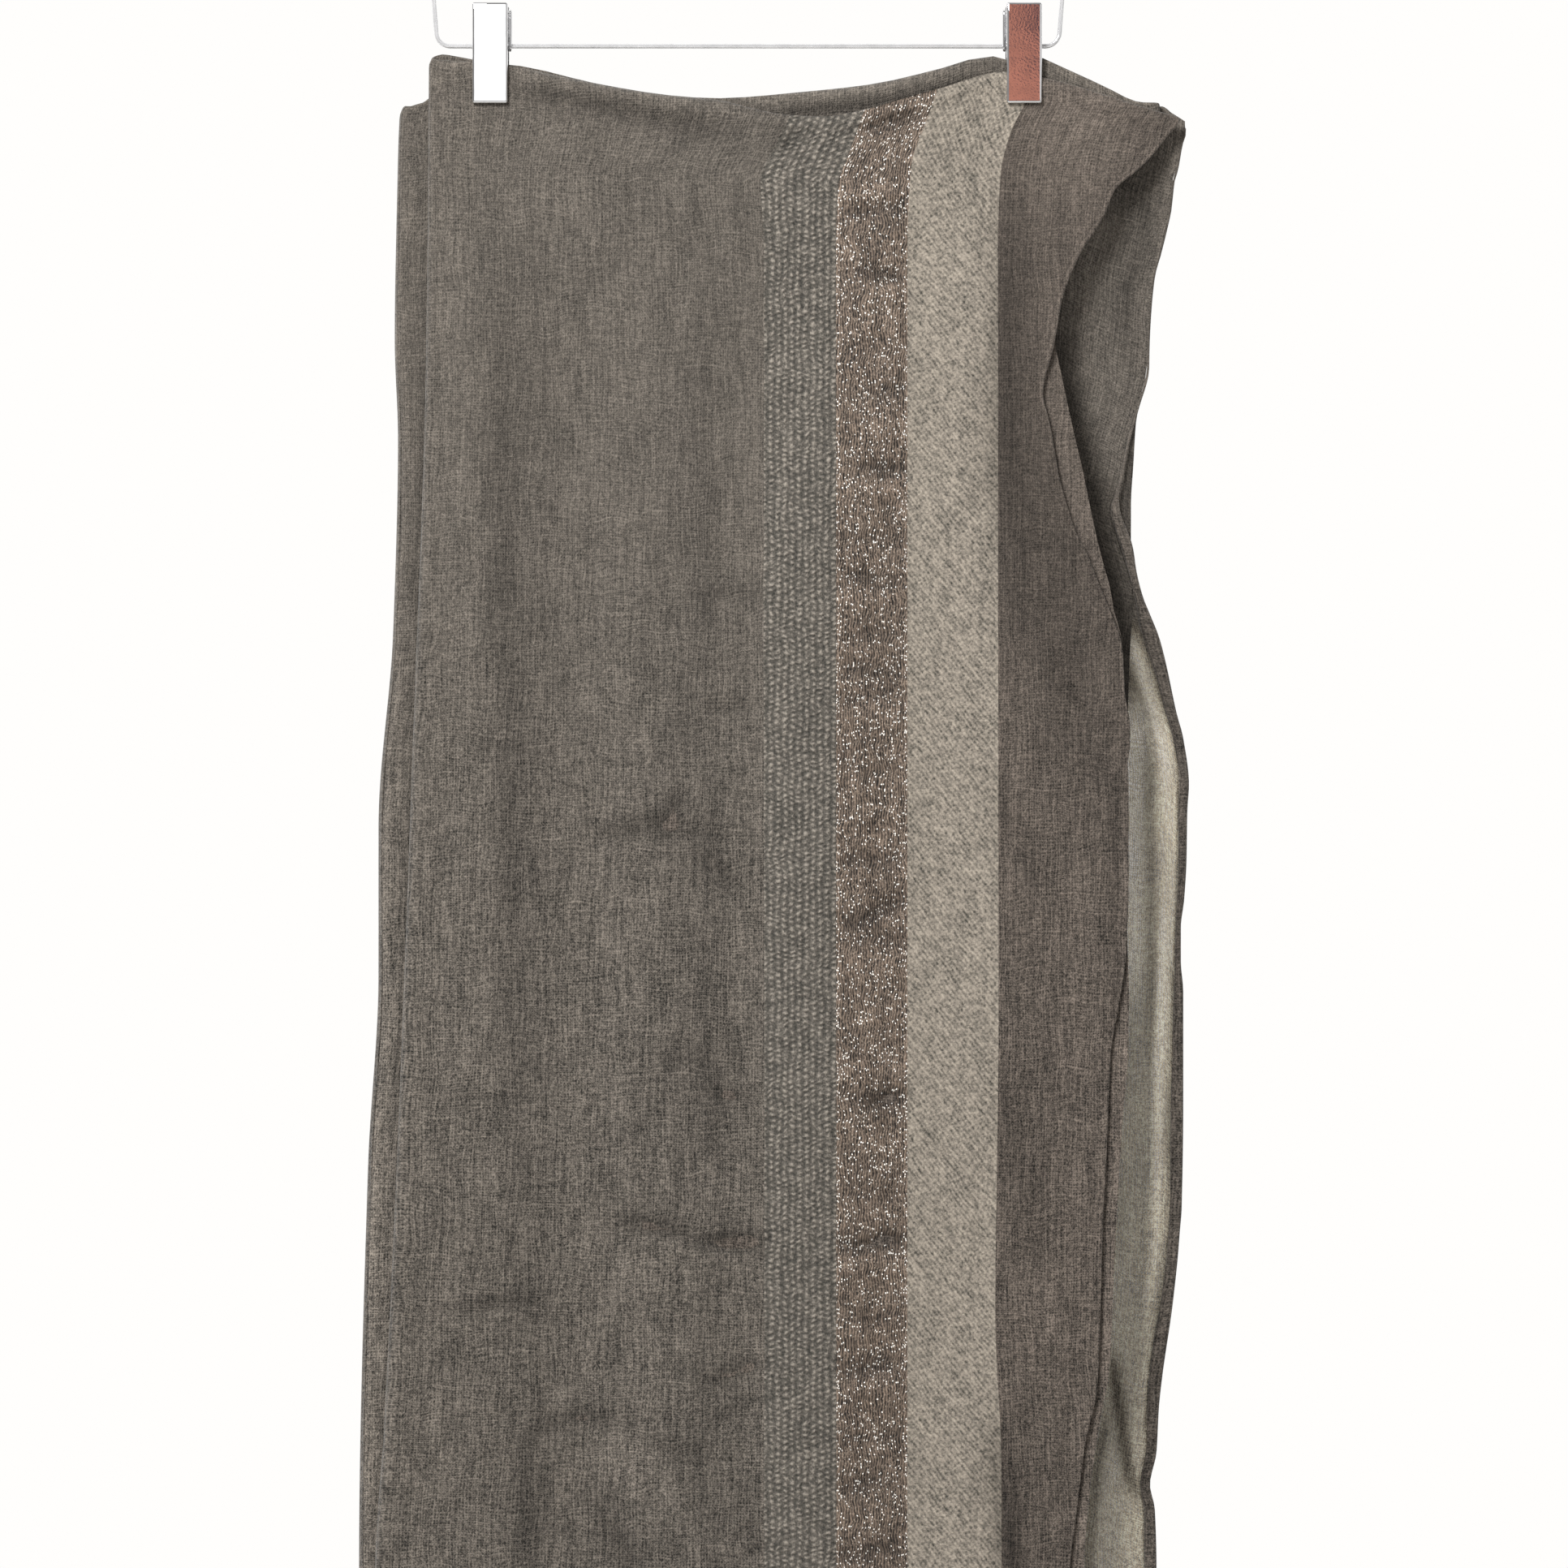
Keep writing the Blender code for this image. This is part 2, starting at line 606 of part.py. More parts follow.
def add_cloth():
    """The folded cloth as one wall, cut into its bands and stretches."""
    finishes = {
        "front_field": (GAUZE_COLOUR, CLOTH_ROUGHNESS, 0.0),
        "front_basket_band": (BASKET_COLOUR, CLOTH_ROUGHNESS, 0.0),
        "front_metallic_band": (METALLIC_COLOUR, METALLIC_BAND_ROUGHNESS, 0.35),
        "front_light_band": (LIGHT_COLOUR, CLOTH_ROUGHNESS, 0.0),
        "front_edge_strip": (EDGE_COLOUR, CLOTH_ROUGHNESS, 0.0),
        "second_stretch": (DARK_GAUZE_COLOUR, CLOTH_ROUGHNESS, 0.0),
        "third_stretch": (DARK_GAUZE_COLOUR, CLOTH_ROUGHNESS, 0.0),
        "back_stretch": (GAUZE_COLOUR, CLOTH_ROUGHNESS, 0.0),
    }
    sections = front_sections() + rear_sections()
    outer, inner = wall_faces(sections)
    first = 0
    for name, section in sections:
        last = min(first + len(section), len(outer) - 1)
        material = finish(name, *finishes[name])
        add_wall(name, trimmed(outer, first, last), trimmed(inner, first, last), material)
        first = last


def arc(centre, radius, first, last, steps):
    """Points on an arc in the hanger's plane, angles in degrees from +X towards +Z."""
    points = []
    for i in range(steps + 1):
        angle = math.radians(first + (last - first) * i / steps)
        points.append(Vector((
            centre.x + radius * math.cos(angle), 0.0, centre.z + radius * math.sin(angle),
        )))
    return points


def add_wire(name, points, radius, material, closed=False):
    """A round wire along a route, with closed ends."""
    curve = bpy.data.curves.new(name, "CURVE")
    curve.dimensions = "3D"
    curve.bevel_depth = radius
    curve.bevel_resolution = 2
    curve.use_fill_caps = not closed
    spline = curve.splines.new("POLY")
    spline.points.add(len(points) - 1)
    for spot, point in zip(spline.points, points):
        spot.co = (point.x, point.y, point.z, 1.0)
    spline.use_cyclic_u = closed
    spline.use_smooth = True
    curve.materials.append(material)
    piece = bpy.data.objects.new(name, curve)
    bpy.context.scene.collection.objects.link(piece)
    return piece


def add_turned(name, profile, sides, material, axis_point, along_x):
    """A ring turned from a closed outline of (along, out) pairs around a line."""
    points = []
    faces = []
    count = len(profile)
    for i in range(sides):
        angle = 2 * math.pi * i / sides
        for along, out in profile:
            first = out * math.cos(angle)
            second = out * math.sin(angle)
            offset = Vector((along, first, second)) if along_x else Vector((first, second, along))
            points.append(axis_point + offset)
    for i in range(sides):
        following = (i + 1) % sides
        for j in range(count):
            beyond = (j + 1) % count
            faces.append((i * count + j, i * count + beyond,
                          following * count + beyond, following * count + j))
    piece = add_mesh(name, points, faces, material)
    shape = bmesh.new()
    shape.from_mesh(piece.data)
    bmesh.ops.remove_doubles(shape, verts=shape.verts, dist=1e-7)
    bmesh.ops.recalc_face_normals(shape, faces=shape.faces)
    shape.to_mesh(piece.data)
    shape.free()
    return piece


def add_frame(material):
    """The bar, the two sides and the two shoulders, each its own length of wire."""
    bar_end = BAR_HALF_SPAN - CORNER_RADIUS
    add_wire("hanger_bar", [Vector((-bar_end + GAP, 0, -BAR_DROP)),
                            Vector((bar_end - GAP, 0, -BAR_DROP))], WIRE_RADIUS, material)
    lean = math.degrees(math.atan2(SIDE_LEAN, SIDE_RISE))
    collar_side = COLLAR_RADIUS + GAP
    collar_level = -NECK_TOP_DROP - COLLAR_HEIGHT * 0.6
    shoulder_middle = Vector((
        BAR_HALF_SPAN + SIDE_LEAN - SHOULDER_RADIUS, 0,
        -BAR_DROP + SIDE_RISE,
    ))
    rise = collar_level - shoulder_middle.z - SHOULDER_RADIUS
    run = shoulder_middle.x - collar_side
    slope = math.degrees(math.atan2(rise, run))
    corner_middle = Vector((bar_end, 0, -BAR_DROP + CORNER_RADIUS))
    corner = arc(corner_middle, CORNER_RADIUS, -90, -lean, CORNER_STEPS)
    turn = arc(shoulder_middle, SHOULDER_RADIUS, -lean, 90 - slope, CORNER_STEPS)
    side = corner + turn
    neck_end = Vector((collar_side, 0, collar_level))
    shoulder_start = turn[-1] + (neck_end - turn[-1]).normalized() * 2 * GAP
    for name, hand in (("left", -1), ("right", 1)):
        mirrored = [Vector((hand * point.x, 0, point.z)) for point in side]
        add_wire(f"hanger_{name}_side", mirrored, WIRE_RADIUS, material)
        slant = [Vector((hand * point.x, 0, point.z)) for point in (shoulder_start, neck_end)]
        add_wire(f"hanger_{name}_shoulder", slant, WIRE_RADIUS, material)


def add_hook(material):
    """The hook's wire, over the rail and back to the middle, and the collar under it."""
    middle = Vector((0, 0, -HOOK_INSIDE_RADIUS))
    bend = HOOK_INSIDE_RADIUS + HOOK_WIRE_RADIUS
    route = arc(middle, bend, HOOK_TIP_ANGLE, HOOK_BACK_ANGLE, HOOK_ARC_STEPS)
    last = route[-1]
    back = math.radians(HOOK_BACK_ANGLE)
    heading = Vector((math.sin(back), 0, -math.cos(back)))
    neck = Vector((0, 0, -HOOK_NECK_DROP))
    controls = (last, last + heading * HOOK_NECK_PULL, neck + Vector((0, 0, HOOK_NECK_PULL)), neck)
    for i in range(1, HOOK_NECK_STEPS + 1):
        t = i / HOOK_NECK_STEPS
        weights = ((1 - t) ** 3, 3 * t * (1 - t) ** 2, 3 * t * t * (1 - t), t ** 3)
        route.append(sum((c * w for c, w in zip(controls, weights)), Vector()))
    route.append(Vector((0, 0, -NECK_TOP_DROP + GAP)))
    add_wire("hanger_hook", route, HOOK_WIRE_RADIUS, material)
    top = -NECK_TOP_DROP
    foot = top - COLLAR_HEIGHT
    wide = COLLAR_RADIUS
    narrow = COLLAR_RADIUS - COLLAR_CHAMFER
    profile = (
        (top, COLLAR_BORE), (top, narrow), (top - COLLAR_CHAMFER, wide),
        (foot + COLLAR_CHAMFER, wide), (foot, narrow), (foot, COLLAR_BORE),
    )
    add_turned("hanger_collar", profile, COLLAR_SIDES, material, Vector((0, 0, 0)), False)


def add_jaw(name, middle, facing, material):
    """A pressed metal jaw: a flat face with slanted rims, its mouth at the bottom."""
    grip = 1.5 * PINCHED_PITCH + WALL / 2 + GAP + CLIP_METAL
    mouth = grip + CLIP_RIM_DEPTH
    pivot = SPRING_RADIUS + GAP + CLIP_METAL
    levels = (
        (CLIP_TOP_RISE, pivot + CLIP_HANDLE_SPREAD, True),
        (CLIP_TOP_RISE - CLIP_CORNER_RISE, pivot + CLIP_HANDLE_SPREAD, False),
        (SPRING_RADIUS, pivot, False),
        (-SPRING_RADIUS, pivot, False),
        (-CLIP_BOTTOM_DROP + CLIP_CORNER_RISE, mouth, False),
        (-CLIP_BOTTOM_DROP, mouth, True),
    )
    face = CLIP_FACE_WIDTH / 2
    rim = face + CLIP_RIM_WIDTH
    points = []
    for rise, out, is_rim in levels:
        for x, is_side in ((-rim, True), (-face, False), (0.0, False), (face, False), (rim, True)):
            drawn_in = CLIP_RIM_DEPTH if is_side or is_rim else 0.0
            points.append(Vector((middle + x, facing * (out - drawn_in), -BAR_DROP + rise)))
    faces = []
    for i in range(len(levels) - 1):
        for j in range(4):
            quad = (i * 5 + j, (i + 1) * 5 + j, (i + 1) * 5 + j + 1, i * 5 + j + 1)
            faces.append(quad if facing < 0 else quad[::-1])
    jaw = add_mesh(name, points, faces, material)
    sheet = jaw.modifiers.new("metal", "SOLIDIFY")
    sheet.thickness = CLIP_METAL
    sheet.offset = -1.0
    sheet.use_even_offset = True
    return jaw


def add_spring(name, middle, material):
    """The coiled spring round the bar, as a ridged sleeve."""
    step = SPRING_HALF_LENGTH / SPRING_TURNS
    bore = WIRE_RADIUS + GAP
    profile = [(-SPRING_HALF_LENGTH, bore)]
    for i in range(2 * SPRING_TURNS + 1):
        out = SPRING_RADIUS - (SPRING_GROOVE if i % 2 == 0 else 0.0)
        profile.append((-SPRING_HALF_LENGTH + i * step, out))
    profile.append((SPRING_HALF_LENGTH, bore))
    return add_turned(name, profile, SPRING_SIDES, material, Vector((middle, 0, -BAR_DROP)), True)


def add_ring(name, across, material):
    """The wire ring beside a clip that rides on the bar."""
    half_depth = WIRE_RADIUS + GAP + RING_WIRE_RADIUS
    foot = -BAR_DROP - half_depth
    low = foot + half_depth
    high = foot + 2 * RING_HALF_HEIGHT - half_depth
    route = []
    for base, first in ((low, 180), (high, 0)):
        for i in range(RING_END_STEPS + 1):
            angle = math.radians(first + 180 * i / RING_END_STEPS)
            route.append(Vector((
                across, half_depth * math.cos(angle), base + half_depth * math.sin(angle),
            )))
    return add_wire(name, route, RING_WIRE_RADIUS, material, closed=True)


def add_clip(side, middle, inward, material):
    """One clip: two jaws, the spring between them and the ring on its inner side."""
    add_jaw(f"{side}_clip_front_jaw", middle, -1, material)
    add_jaw(f"{side}_clip_back_jaw", middle, 1, material)
    add_spring(f"{side}_clip_spring", middle, material)
    beside = CLIP_FACE_WIDTH / 2 + CLIP_RIM_WIDTH + GAP + RING_WIRE_RADIUS
    add_ring(f"{side}_clip_ring", middle + inward * beside, material)


def main():
    for thing in list(bpy.data.objects):
        bpy.data.objects.remove(thing, do_unlink=True)
    add_cloth()
    chrome = finish("chrome", CHROME_COLOUR, CHROME_ROUGHNESS, 1.0)
    add_frame(chrome)
    add_hook(chrome)
    add_clip("left", LEFT_CLIP_MIDDLE, 1, chrome)
    add_clip("right", RIGHT_CLIP_MIDDLE, -1, chrome)


main()
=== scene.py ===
"""A thin wool shawl with woven bands, folded and held by a metal clip hanger, dressed for rendering.

Lengths are metres. Z is up, X runs along the hanger's bar and the front faces -Y.
Places "across" are measured along X, and places "down" are measured below the bar.
The shawl is folded in half over the top and then into four stretches, so each stretch
has an outer leaf and an inner one.
"""

import math
from collections import namedtuple

import bmesh
import bpy
import numpy as np
from bpy.props import FloatProperty, FloatVectorProperty, IntProperty, PointerProperty
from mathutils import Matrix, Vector


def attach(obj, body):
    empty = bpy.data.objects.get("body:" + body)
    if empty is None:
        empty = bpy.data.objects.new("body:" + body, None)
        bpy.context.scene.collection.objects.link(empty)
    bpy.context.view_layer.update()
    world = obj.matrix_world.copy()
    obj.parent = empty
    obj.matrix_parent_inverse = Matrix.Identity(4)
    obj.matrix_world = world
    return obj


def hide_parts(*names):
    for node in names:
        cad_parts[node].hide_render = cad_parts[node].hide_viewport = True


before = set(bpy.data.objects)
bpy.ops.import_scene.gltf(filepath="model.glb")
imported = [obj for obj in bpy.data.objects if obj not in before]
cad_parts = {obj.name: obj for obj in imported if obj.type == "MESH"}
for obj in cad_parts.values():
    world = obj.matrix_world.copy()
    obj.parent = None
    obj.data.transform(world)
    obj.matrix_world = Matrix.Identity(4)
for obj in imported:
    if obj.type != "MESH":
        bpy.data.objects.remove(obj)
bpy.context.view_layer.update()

bl_info = {
    "name": "Shawl on a clip hanger",
    "version": (1, 0, 0),
    "blender": (4, 5, 0),
    "location": "3D View > Sidebar > Shawl",
    "description": "Adds the leaves of a folded shawl, their weaves, the clip hanger and a studio",
    "category": "Add Mesh",
}

# Hanger
BAR_DROP = 0.130
BAR_HALF_SPAN = 0.1536
CORNER_RADIUS = 0.007
SIDE_LEAN = 0.0022
SIDE_RISE = 0.036
SHOULDER_RADIUS = 0.008
NECK_TOP_DROP = 0.064
COLLAR_HEIGHT = 0.014
COLLAR_BEVEL = 0.0009
HOOK_INSIDE_RADIUS = 0.0175
HOOK_TIP_ANGLE = 205
HOOK_BACK_ANGLE = -35
HOOK_NECK_DROP = 0.052
HOOK_NECK_PULL = 0.011
LEFT_CLIP_MIDDLE = -0.1267
RIGHT_CLIP_MIDDLE = 0.1359
CLIP_TOP_RISE = 0.0205
CLIP_BOTTOM_DROP = 0.0290
CLIP_METAL = 0.0008
CLIP_BEVEL = 0.0011
CLIP_BEVEL_FACE_AREA = 0.000008
CLIP_LOWER_CUT = -0.018
CLIP_MOUTH_EASE = 0.0018
CLIP_HANDLE_FLARE = 0.0003
SPRING_RADIUS = 0.0065
SPRING_WIRE_RADIUS = 0.00095
SPRING_HALF_LENGTH = 0.0055
SPRING_TURNS = 6
RING_WIRE_RADIUS = 0.0007
RING_HALF_HEIGHT = 0.0098
GAP = 0.0003

# The tables below give places as they are seen against the bar's plane from this point
VIEW_ACROSS = 0.0178
VIEW_LEVEL = -0.4936
VIEW_DISTANCE = 2.30

# Cloth
CLOTH_DROP = 1.005
PINCHED_PITCH = 0.0025
FOLD_ALLOWANCE = 0.0010
CLIP_HOLD_HALF_WIDTH = 0.015
CLIP_HOLD_REACH = 0.020
CLIP_HOLD_DROP = 0.035
CLIP_HOLD_END = 0.120
CORNER_ACROSS = 0.2130
CORNER_DOWN = 0.0400
CORNER_WIDE = 0.022
CORNER_TALL = 0.026
CORNER_HOLD = 0.8
TOP_ROUNDING = 0.0012
ROLL_HEIGHT = 0.0118
BOTTOM_STEP = 0.003
BOTTOM_WAVE = 0.003
BOTTOM_WAVES_PER_METRE = 24
BOTTOM_WAVE_SHIFT = 1.7
BOTTOM_HEM = 0.006
SETTLE_STEPS = 10
TOP_STEPS = (0.0, 0.00015, 0.0005, 0.0012, 0.0022, 0.0034, 0.005, 0.007, 0.0092, 0.0118, 0.0148)
BOTTOM_STEPS = (0.75, 0.45, 0.2, 0.0)
BAND_WIDTHS = {"basket": 0.0352, "metallic": 0.0350, "light": 0.0450}
STRIP_START_U = sum(BAND_WIDTHS.values())
FIELD_WIDTH = 0.1660
LEFT_TURN_WIDTH = 0.010

# Stage
KEY_PLACE = (-0.86, -1.80, 0.95)
KEY_SIZE = 0.75
KEY_AIM = 0.1
FILL_PLACE = (1.7, -2.1, 0.3)
FILL_SIZE = 1.4
SENSOR_WIDTH = 36.0
FLOOR_RADIUS = 2.6
FLOOR_DARK = (0.80, 0.79, 0.77, 1)
FLOOR_PALE = (0.86, 0.85, 0.83, 1)
ROOM_FRONT = (0.30, 0.295, 0.29, 1.0)
ROOM_BACK = (1.0, 0.99, 0.975, 1.0)
WINDOW = (1.7, 1.7, 1.7, 1.0)
WARM_WALL = (0.55, 0.225, 0.16, 1.0)
DARK_WALL = (0.10, 0.06, 0.07, 1.0)

Edge = namedtuple("Edge", "down across")
Top = namedtuple("Top", "across down")
Amount = namedtuple("Amount", "down size")
Fold = namedtuple("Fold", "across lean half_width height start finish")
Crease = namedtuple("Crease", "across down length angle half_width height bow")
Pucker = namedtuple("Pucker", "down height half_width tilt")
Wave = namedtuple("Wave", "wide tall shift height")
# A soft patch of painted shade, or of painted light for an amount below zero
Tone = namedtuple("Tone", "across down wide tall angle amount")
Trough = namedtuple("Trough", "full lightest tone")
Line = namedtuple("Line", "offset half_width amount")
Window = namedtuple("Window", "start full leave end")
Panel = namedtuple("Panel", "left right top bottom")
Band = namedtuple("Band", "name start finish columns slot")
Group = namedtuple("Group", "place count u slot")
Layer = namedtuple("Layer", "name across along seed wide tall spread detail rough tone height")
Sway = namedtuple("Sway", "seed wide tall detail reach")

# Edges of the stretches, each level's place across
LEFT_FOLD = (
    Edge(0.0064, -0.1560), Edge(0.0100, -0.1573), Edge(0.026, -0.1574), Edge(0.148, -0.1586),
    Edge(0.337, -0.1650),
    Edge(0.537, -0.1726), Edge(0.680, -0.1794), Edge(0.750, -0.1838), Edge(0.877, -0.1846),
    Edge(1.005, -0.1822),
)
SECOND_LEFT_FOLD = (
    Edge(0.029, -0.1690), Edge(0.035, -0.1714), Edge(0.073, -0.1726), Edge(0.145, -0.1738),
    Edge(0.193, -0.1722), Edge(0.289, -0.1746), Edge(0.385, -0.1818), Edge(0.457, -0.1818),
    Edge(0.553, -0.1870), Edge(0.750, -0.1914), Edge(1.005, -0.1902),
)
FRONT_HEM = (
    Edge(0.036, 0.2120), Edge(0.039, 0.2102), Edge(0.042, 0.2078), Edge(0.048, 0.2032),
    Edge(0.055, 0.1974), Edge(0.063, 0.1890), Edge(0.070, 0.1806), Edge(0.081, 0.1758),
    Edge(0.090, 0.1710), Edge(0.099, 0.1646), Edge(0.112, 0.1586), Edge(0.125, 0.1542),
    Edge(0.135, 0.1522), Edge(0.148, 0.1498), Edge(0.166, 0.1454), Edge(0.172, 0.1450),
    Edge(0.177, 0.1462), Edge(0.190, 0.1494), Edge(0.204, 0.1518), Edge(0.213, 0.1534),
    Edge(0.228, 0.1578), Edge(0.239, 0.1614), Edge(0.250, 0.1670), Edge(0.265, 0.1730),
    Edge(0.281, 0.1794), Edge(0.296, 0.1842), Edge(0.321, 0.1858), Edge(0.335, 0.1882),
    Edge(0.344, 0.1882), Edge(0.353, 0.1870), Edge(0.377, 0.1874), Edge(0.413, 0.1874),
    Edge(0.449, 0.1860), Edge(0.473, 0.1824), Edge(0.497, 0.1786), Edge(0.545, 0.1766),
    Edge(0.577, 0.1750), Edge(0.617, 0.1738), Edge(0.653, 0.1726), Edge(0.666, 0.1714),
    Edge(0.679, 0.1684), Edge(0.692, 0.1656), Edge(0.706, 0.1638), Edge(0.728, 0.1610),
    Edge(0.750, 0.1584),
    Edge(0.837, 0.1560), Edge(1.005, 0.1640),
)
SECOND_LEAF_EDGE = (
    Edge(0.037, 0.2074), Edge(0.053, 0.1914), Edge(0.073, 0.1754), Edge(0.101, 0.1594),
    Edge(0.129, 0.1514), Edge(0.147, 0.1518), Edge(0.162, 0.1546), Edge(0.178, 0.1578),
    Edge(0.189, 0.1602), Edge(0.208, 0.1646), Edge(0.226, 0.1682), Edge(0.243, 0.1718),
    Edge(0.258, 0.1758), Edge(0.266, 0.1782), Edge(0.280, 0.1806), Edge(0.291, 0.1842),
    Edge(0.309, 0.1850), Edge(0.337, 0.1866), Edge(0.430, 0.1868), Edge(0.470, 0.1878),
    Edge(0.497, 0.1872), Edge(0.529, 0.1846), Edge(0.561, 0.1826), Edge(0.600, 0.1804),
    Edge(0.653, 0.1778), Edge(0.669, 0.1746), Edge(0.695, 0.1700),
    Edge(0.711, 0.1678), Edge(0.728, 0.1662), Edge(0.750, 0.1650),
    Edge(1.005, 0.1668),
)
RIGHT_FOLD = (
    Edge(0.028, 0.2030), Edge(0.033, 0.2034), Edge(0.045, 0.1890), Edge(0.073, 0.1690),
    Edge(0.109, 0.1556), Edge(0.129, 0.1500), Edge(0.147, 0.1500), Edge(0.162, 0.1530),
    Edge(0.178, 0.1560), Edge(0.189, 0.1584), Edge(0.208, 0.1628), Edge(0.226, 0.1664),
    Edge(0.243, 0.1700), Edge(0.258, 0.1742), Edge(0.273, 0.1792), Edge(0.291, 0.1834),
    Edge(0.309, 0.1850), Edge(0.360, 0.1870), Edge(0.449, 0.1868), Edge(0.477, 0.1812),
    Edge(0.561, 0.1800), Edge(0.651, 0.1764), Edge(0.702, 0.1686), Edge(0.750, 0.1650),
    Edge(1.005, 0.1680),
)
BACK_INNER_EDGE = (
    Edge(0.039, 0.2154), Edge(0.049, 0.2138), Edge(0.062, 0.2110), Edge(0.067, 0.2090),
    Edge(0.079, 0.2082), Edge(0.089, 0.2062), Edge(0.102, 0.2030), Edge(0.114, 0.1998),
    Edge(0.135, 0.1978), Edge(0.149, 0.1970), Edge(0.159, 0.1966), Edge(0.179, 0.1914),
    Edge(0.196, 0.1866), Edge(0.211, 0.1838), Edge(0.222, 0.1810), Edge(0.228, 0.1790),
    Edge(0.235, 0.1798), Edge(0.242, 0.1814), Edge(0.255, 0.1858), Edge(0.271, 0.1898),
    Edge(0.281, 0.1894), Edge(0.291, 0.1886), Edge(0.309, 0.1878), Edge(0.360, 0.1866),
    Edge(0.449, 0.1858), Edge(0.477, 0.1802), Edge(0.561, 0.1790), Edge(0.651, 0.1756),
    Edge(0.702, 0.1676), Edge(0.750, 0.1634), Edge(1.005, 0.1660),
)
BACK_HEM = (
    Edge(0.038, 0.2158), Edge(0.040, 0.2166), Edge(0.049, 0.2142), Edge(0.062, 0.2118),
    Edge(0.067, 0.2098), Edge(0.079, 0.2090), Edge(0.089, 0.2070), Edge(0.102, 0.2038),
    Edge(0.114, 0.2006), Edge(0.135, 0.1986), Edge(0.149, 0.1974), Edge(0.163, 0.1962),
    Edge(0.173, 0.1946), Edge(0.186, 0.1922), Edge(0.206, 0.1910), Edge(0.226, 0.1898),
    Edge(0.245, 0.1898), Edge(0.258, 0.1914), Edge(0.271, 0.1946), Edge(0.280, 0.1982),
    Edge(0.291, 0.2026), Edge(0.303, 0.2058), Edge(0.329, 0.2114), Edge(0.341, 0.2146),
    Edge(0.364, 0.2174), Edge(0.377, 0.2166), Edge(0.401, 0.2162), Edge(0.421, 0.2150),
    Edge(0.434, 0.2134), Edge(0.451, 0.2134), Edge(0.466, 0.2146), Edge(0.521, 0.2146),
    Edge(0.573, 0.2138), Edge(0.583, 0.2130), Edge(0.598, 0.2118), Edge(0.613, 0.2102),
    Edge(0.623, 0.2090), Edge(0.656, 0.2042), Edge(0.671, 0.2026), Edge(0.693, 0.2014),
    Edge(0.709, 0.1982), Edge(0.721, 0.2006), Edge(0.750, 0.2014), Edge(0.877, 0.1994),
    Edge(1.005, 0.2030),
)
ROLLED_HEM_INNER = (
    Edge(0.038, 0.2148), Edge(0.049, 0.2130), Edge(0.062, 0.2106), Edge(0.079, 0.2078),
    Edge(0.102, 0.2026), Edge(0.114, 0.1994), Edge(0.135, 0.1974), Edge(0.159, 0.1966),
    Edge(0.179, 0.1914), Edge(0.196, 0.1866), Edge(0.211, 0.1838), Edge(0.222, 0.1810),
    Edge(0.228, 0.1788), Edge(0.235, 0.1800), Edge(0.243, 0.1826), Edge(0.253, 0.1858),
    Edge(0.265, 0.1890), Edge(0.275, 0.1914), Edge(0.285, 0.1930), Edge(0.297, 0.1966),
    Edge(0.311, 0.2014), Edge(0.325, 0.2050), Edge(0.335, 0.2078), Edge(0.347, 0.2106),
    Edge(0.361, 0.2118), Edge(0.401, 0.2122), Edge(0.429, 0.2110), Edge(0.457, 0.2102),
    Edge(0.517, 0.2086), Edge(0.577, 0.2078), Edge(0.617, 0.2038), Edge(0.639, 0.1998),
    Edge(0.656, 0.1978), Edge(0.671, 0.1966), Edge(0.693, 0.1958), Edge(0.709, 0.1934),
    Edge(0.722, 0.1954), Edge(0.750, 0.1954), Edge(0.877, 0.1936), Edge(1.005, 0.1970),
)
# The roll's outer line is the leaf's edge, but for the stretch where it twists over to the front
TWIST = (
    Edge(0.149, 0.1980), Edge(0.159, 0.1978), Edge(0.179, 0.1926), Edge(0.196, 0.1880),
    Edge(0.211, 0.1852), Edge(0.222, 0.1828), Edge(0.230, 0.1836), Edge(0.238, 0.1868),
    Edge(0.247, 0.1898),
)
ROLLED_HEM_OUTER = (
    *(edge for edge in BACK_HEM if edge.down < 0.140), *TWIST,
    *(edge for edge in BACK_HEM if edge.down > 0.250),
)
# A soft fold low down in the single leaf
LOWER_FOLD = (
    Edge(0.630, 0.1772), Edge(0.650, 0.1799), Edge(0.672, 0.1835), Edge(0.695, 0.1862),
    Edge(0.707, 0.1888), Edge(0.720, 0.1945),
)

# Lines between the woven bands of the front
BASKET_START = (
    Edge(0.033, 0.0210), Edge(0.050, 0.0130), Edge(0.065, 0.0062), Edge(0.100, 0.0080),
    Edge(1.005, 0.0084),
)
METALLIC_START = (
    Edge(0.033, 0.0570), Edge(0.050, 0.0510), Edge(0.068, 0.0446), Edge(0.100, 0.0434),
    Edge(1.005, 0.0436),
)
LIGHT_START = (
    Edge(0.022, 0.0930), Edge(0.034, 0.0890), Edge(0.060, 0.0804), Edge(0.100, 0.0786),
    Edge(1.005, 0.0786),
)
EDGE_STRIP_START = (
    Edge(0.028, 0.1366), Edge(0.044, 0.1290), Edge(0.063, 0.1246), Edge(0.100, 0.1232),
    Edge(0.477, 0.1236), Edge(0.625, 0.1220), Edge(0.703, 0.1250), Edge(1.005, 0.1252),
)

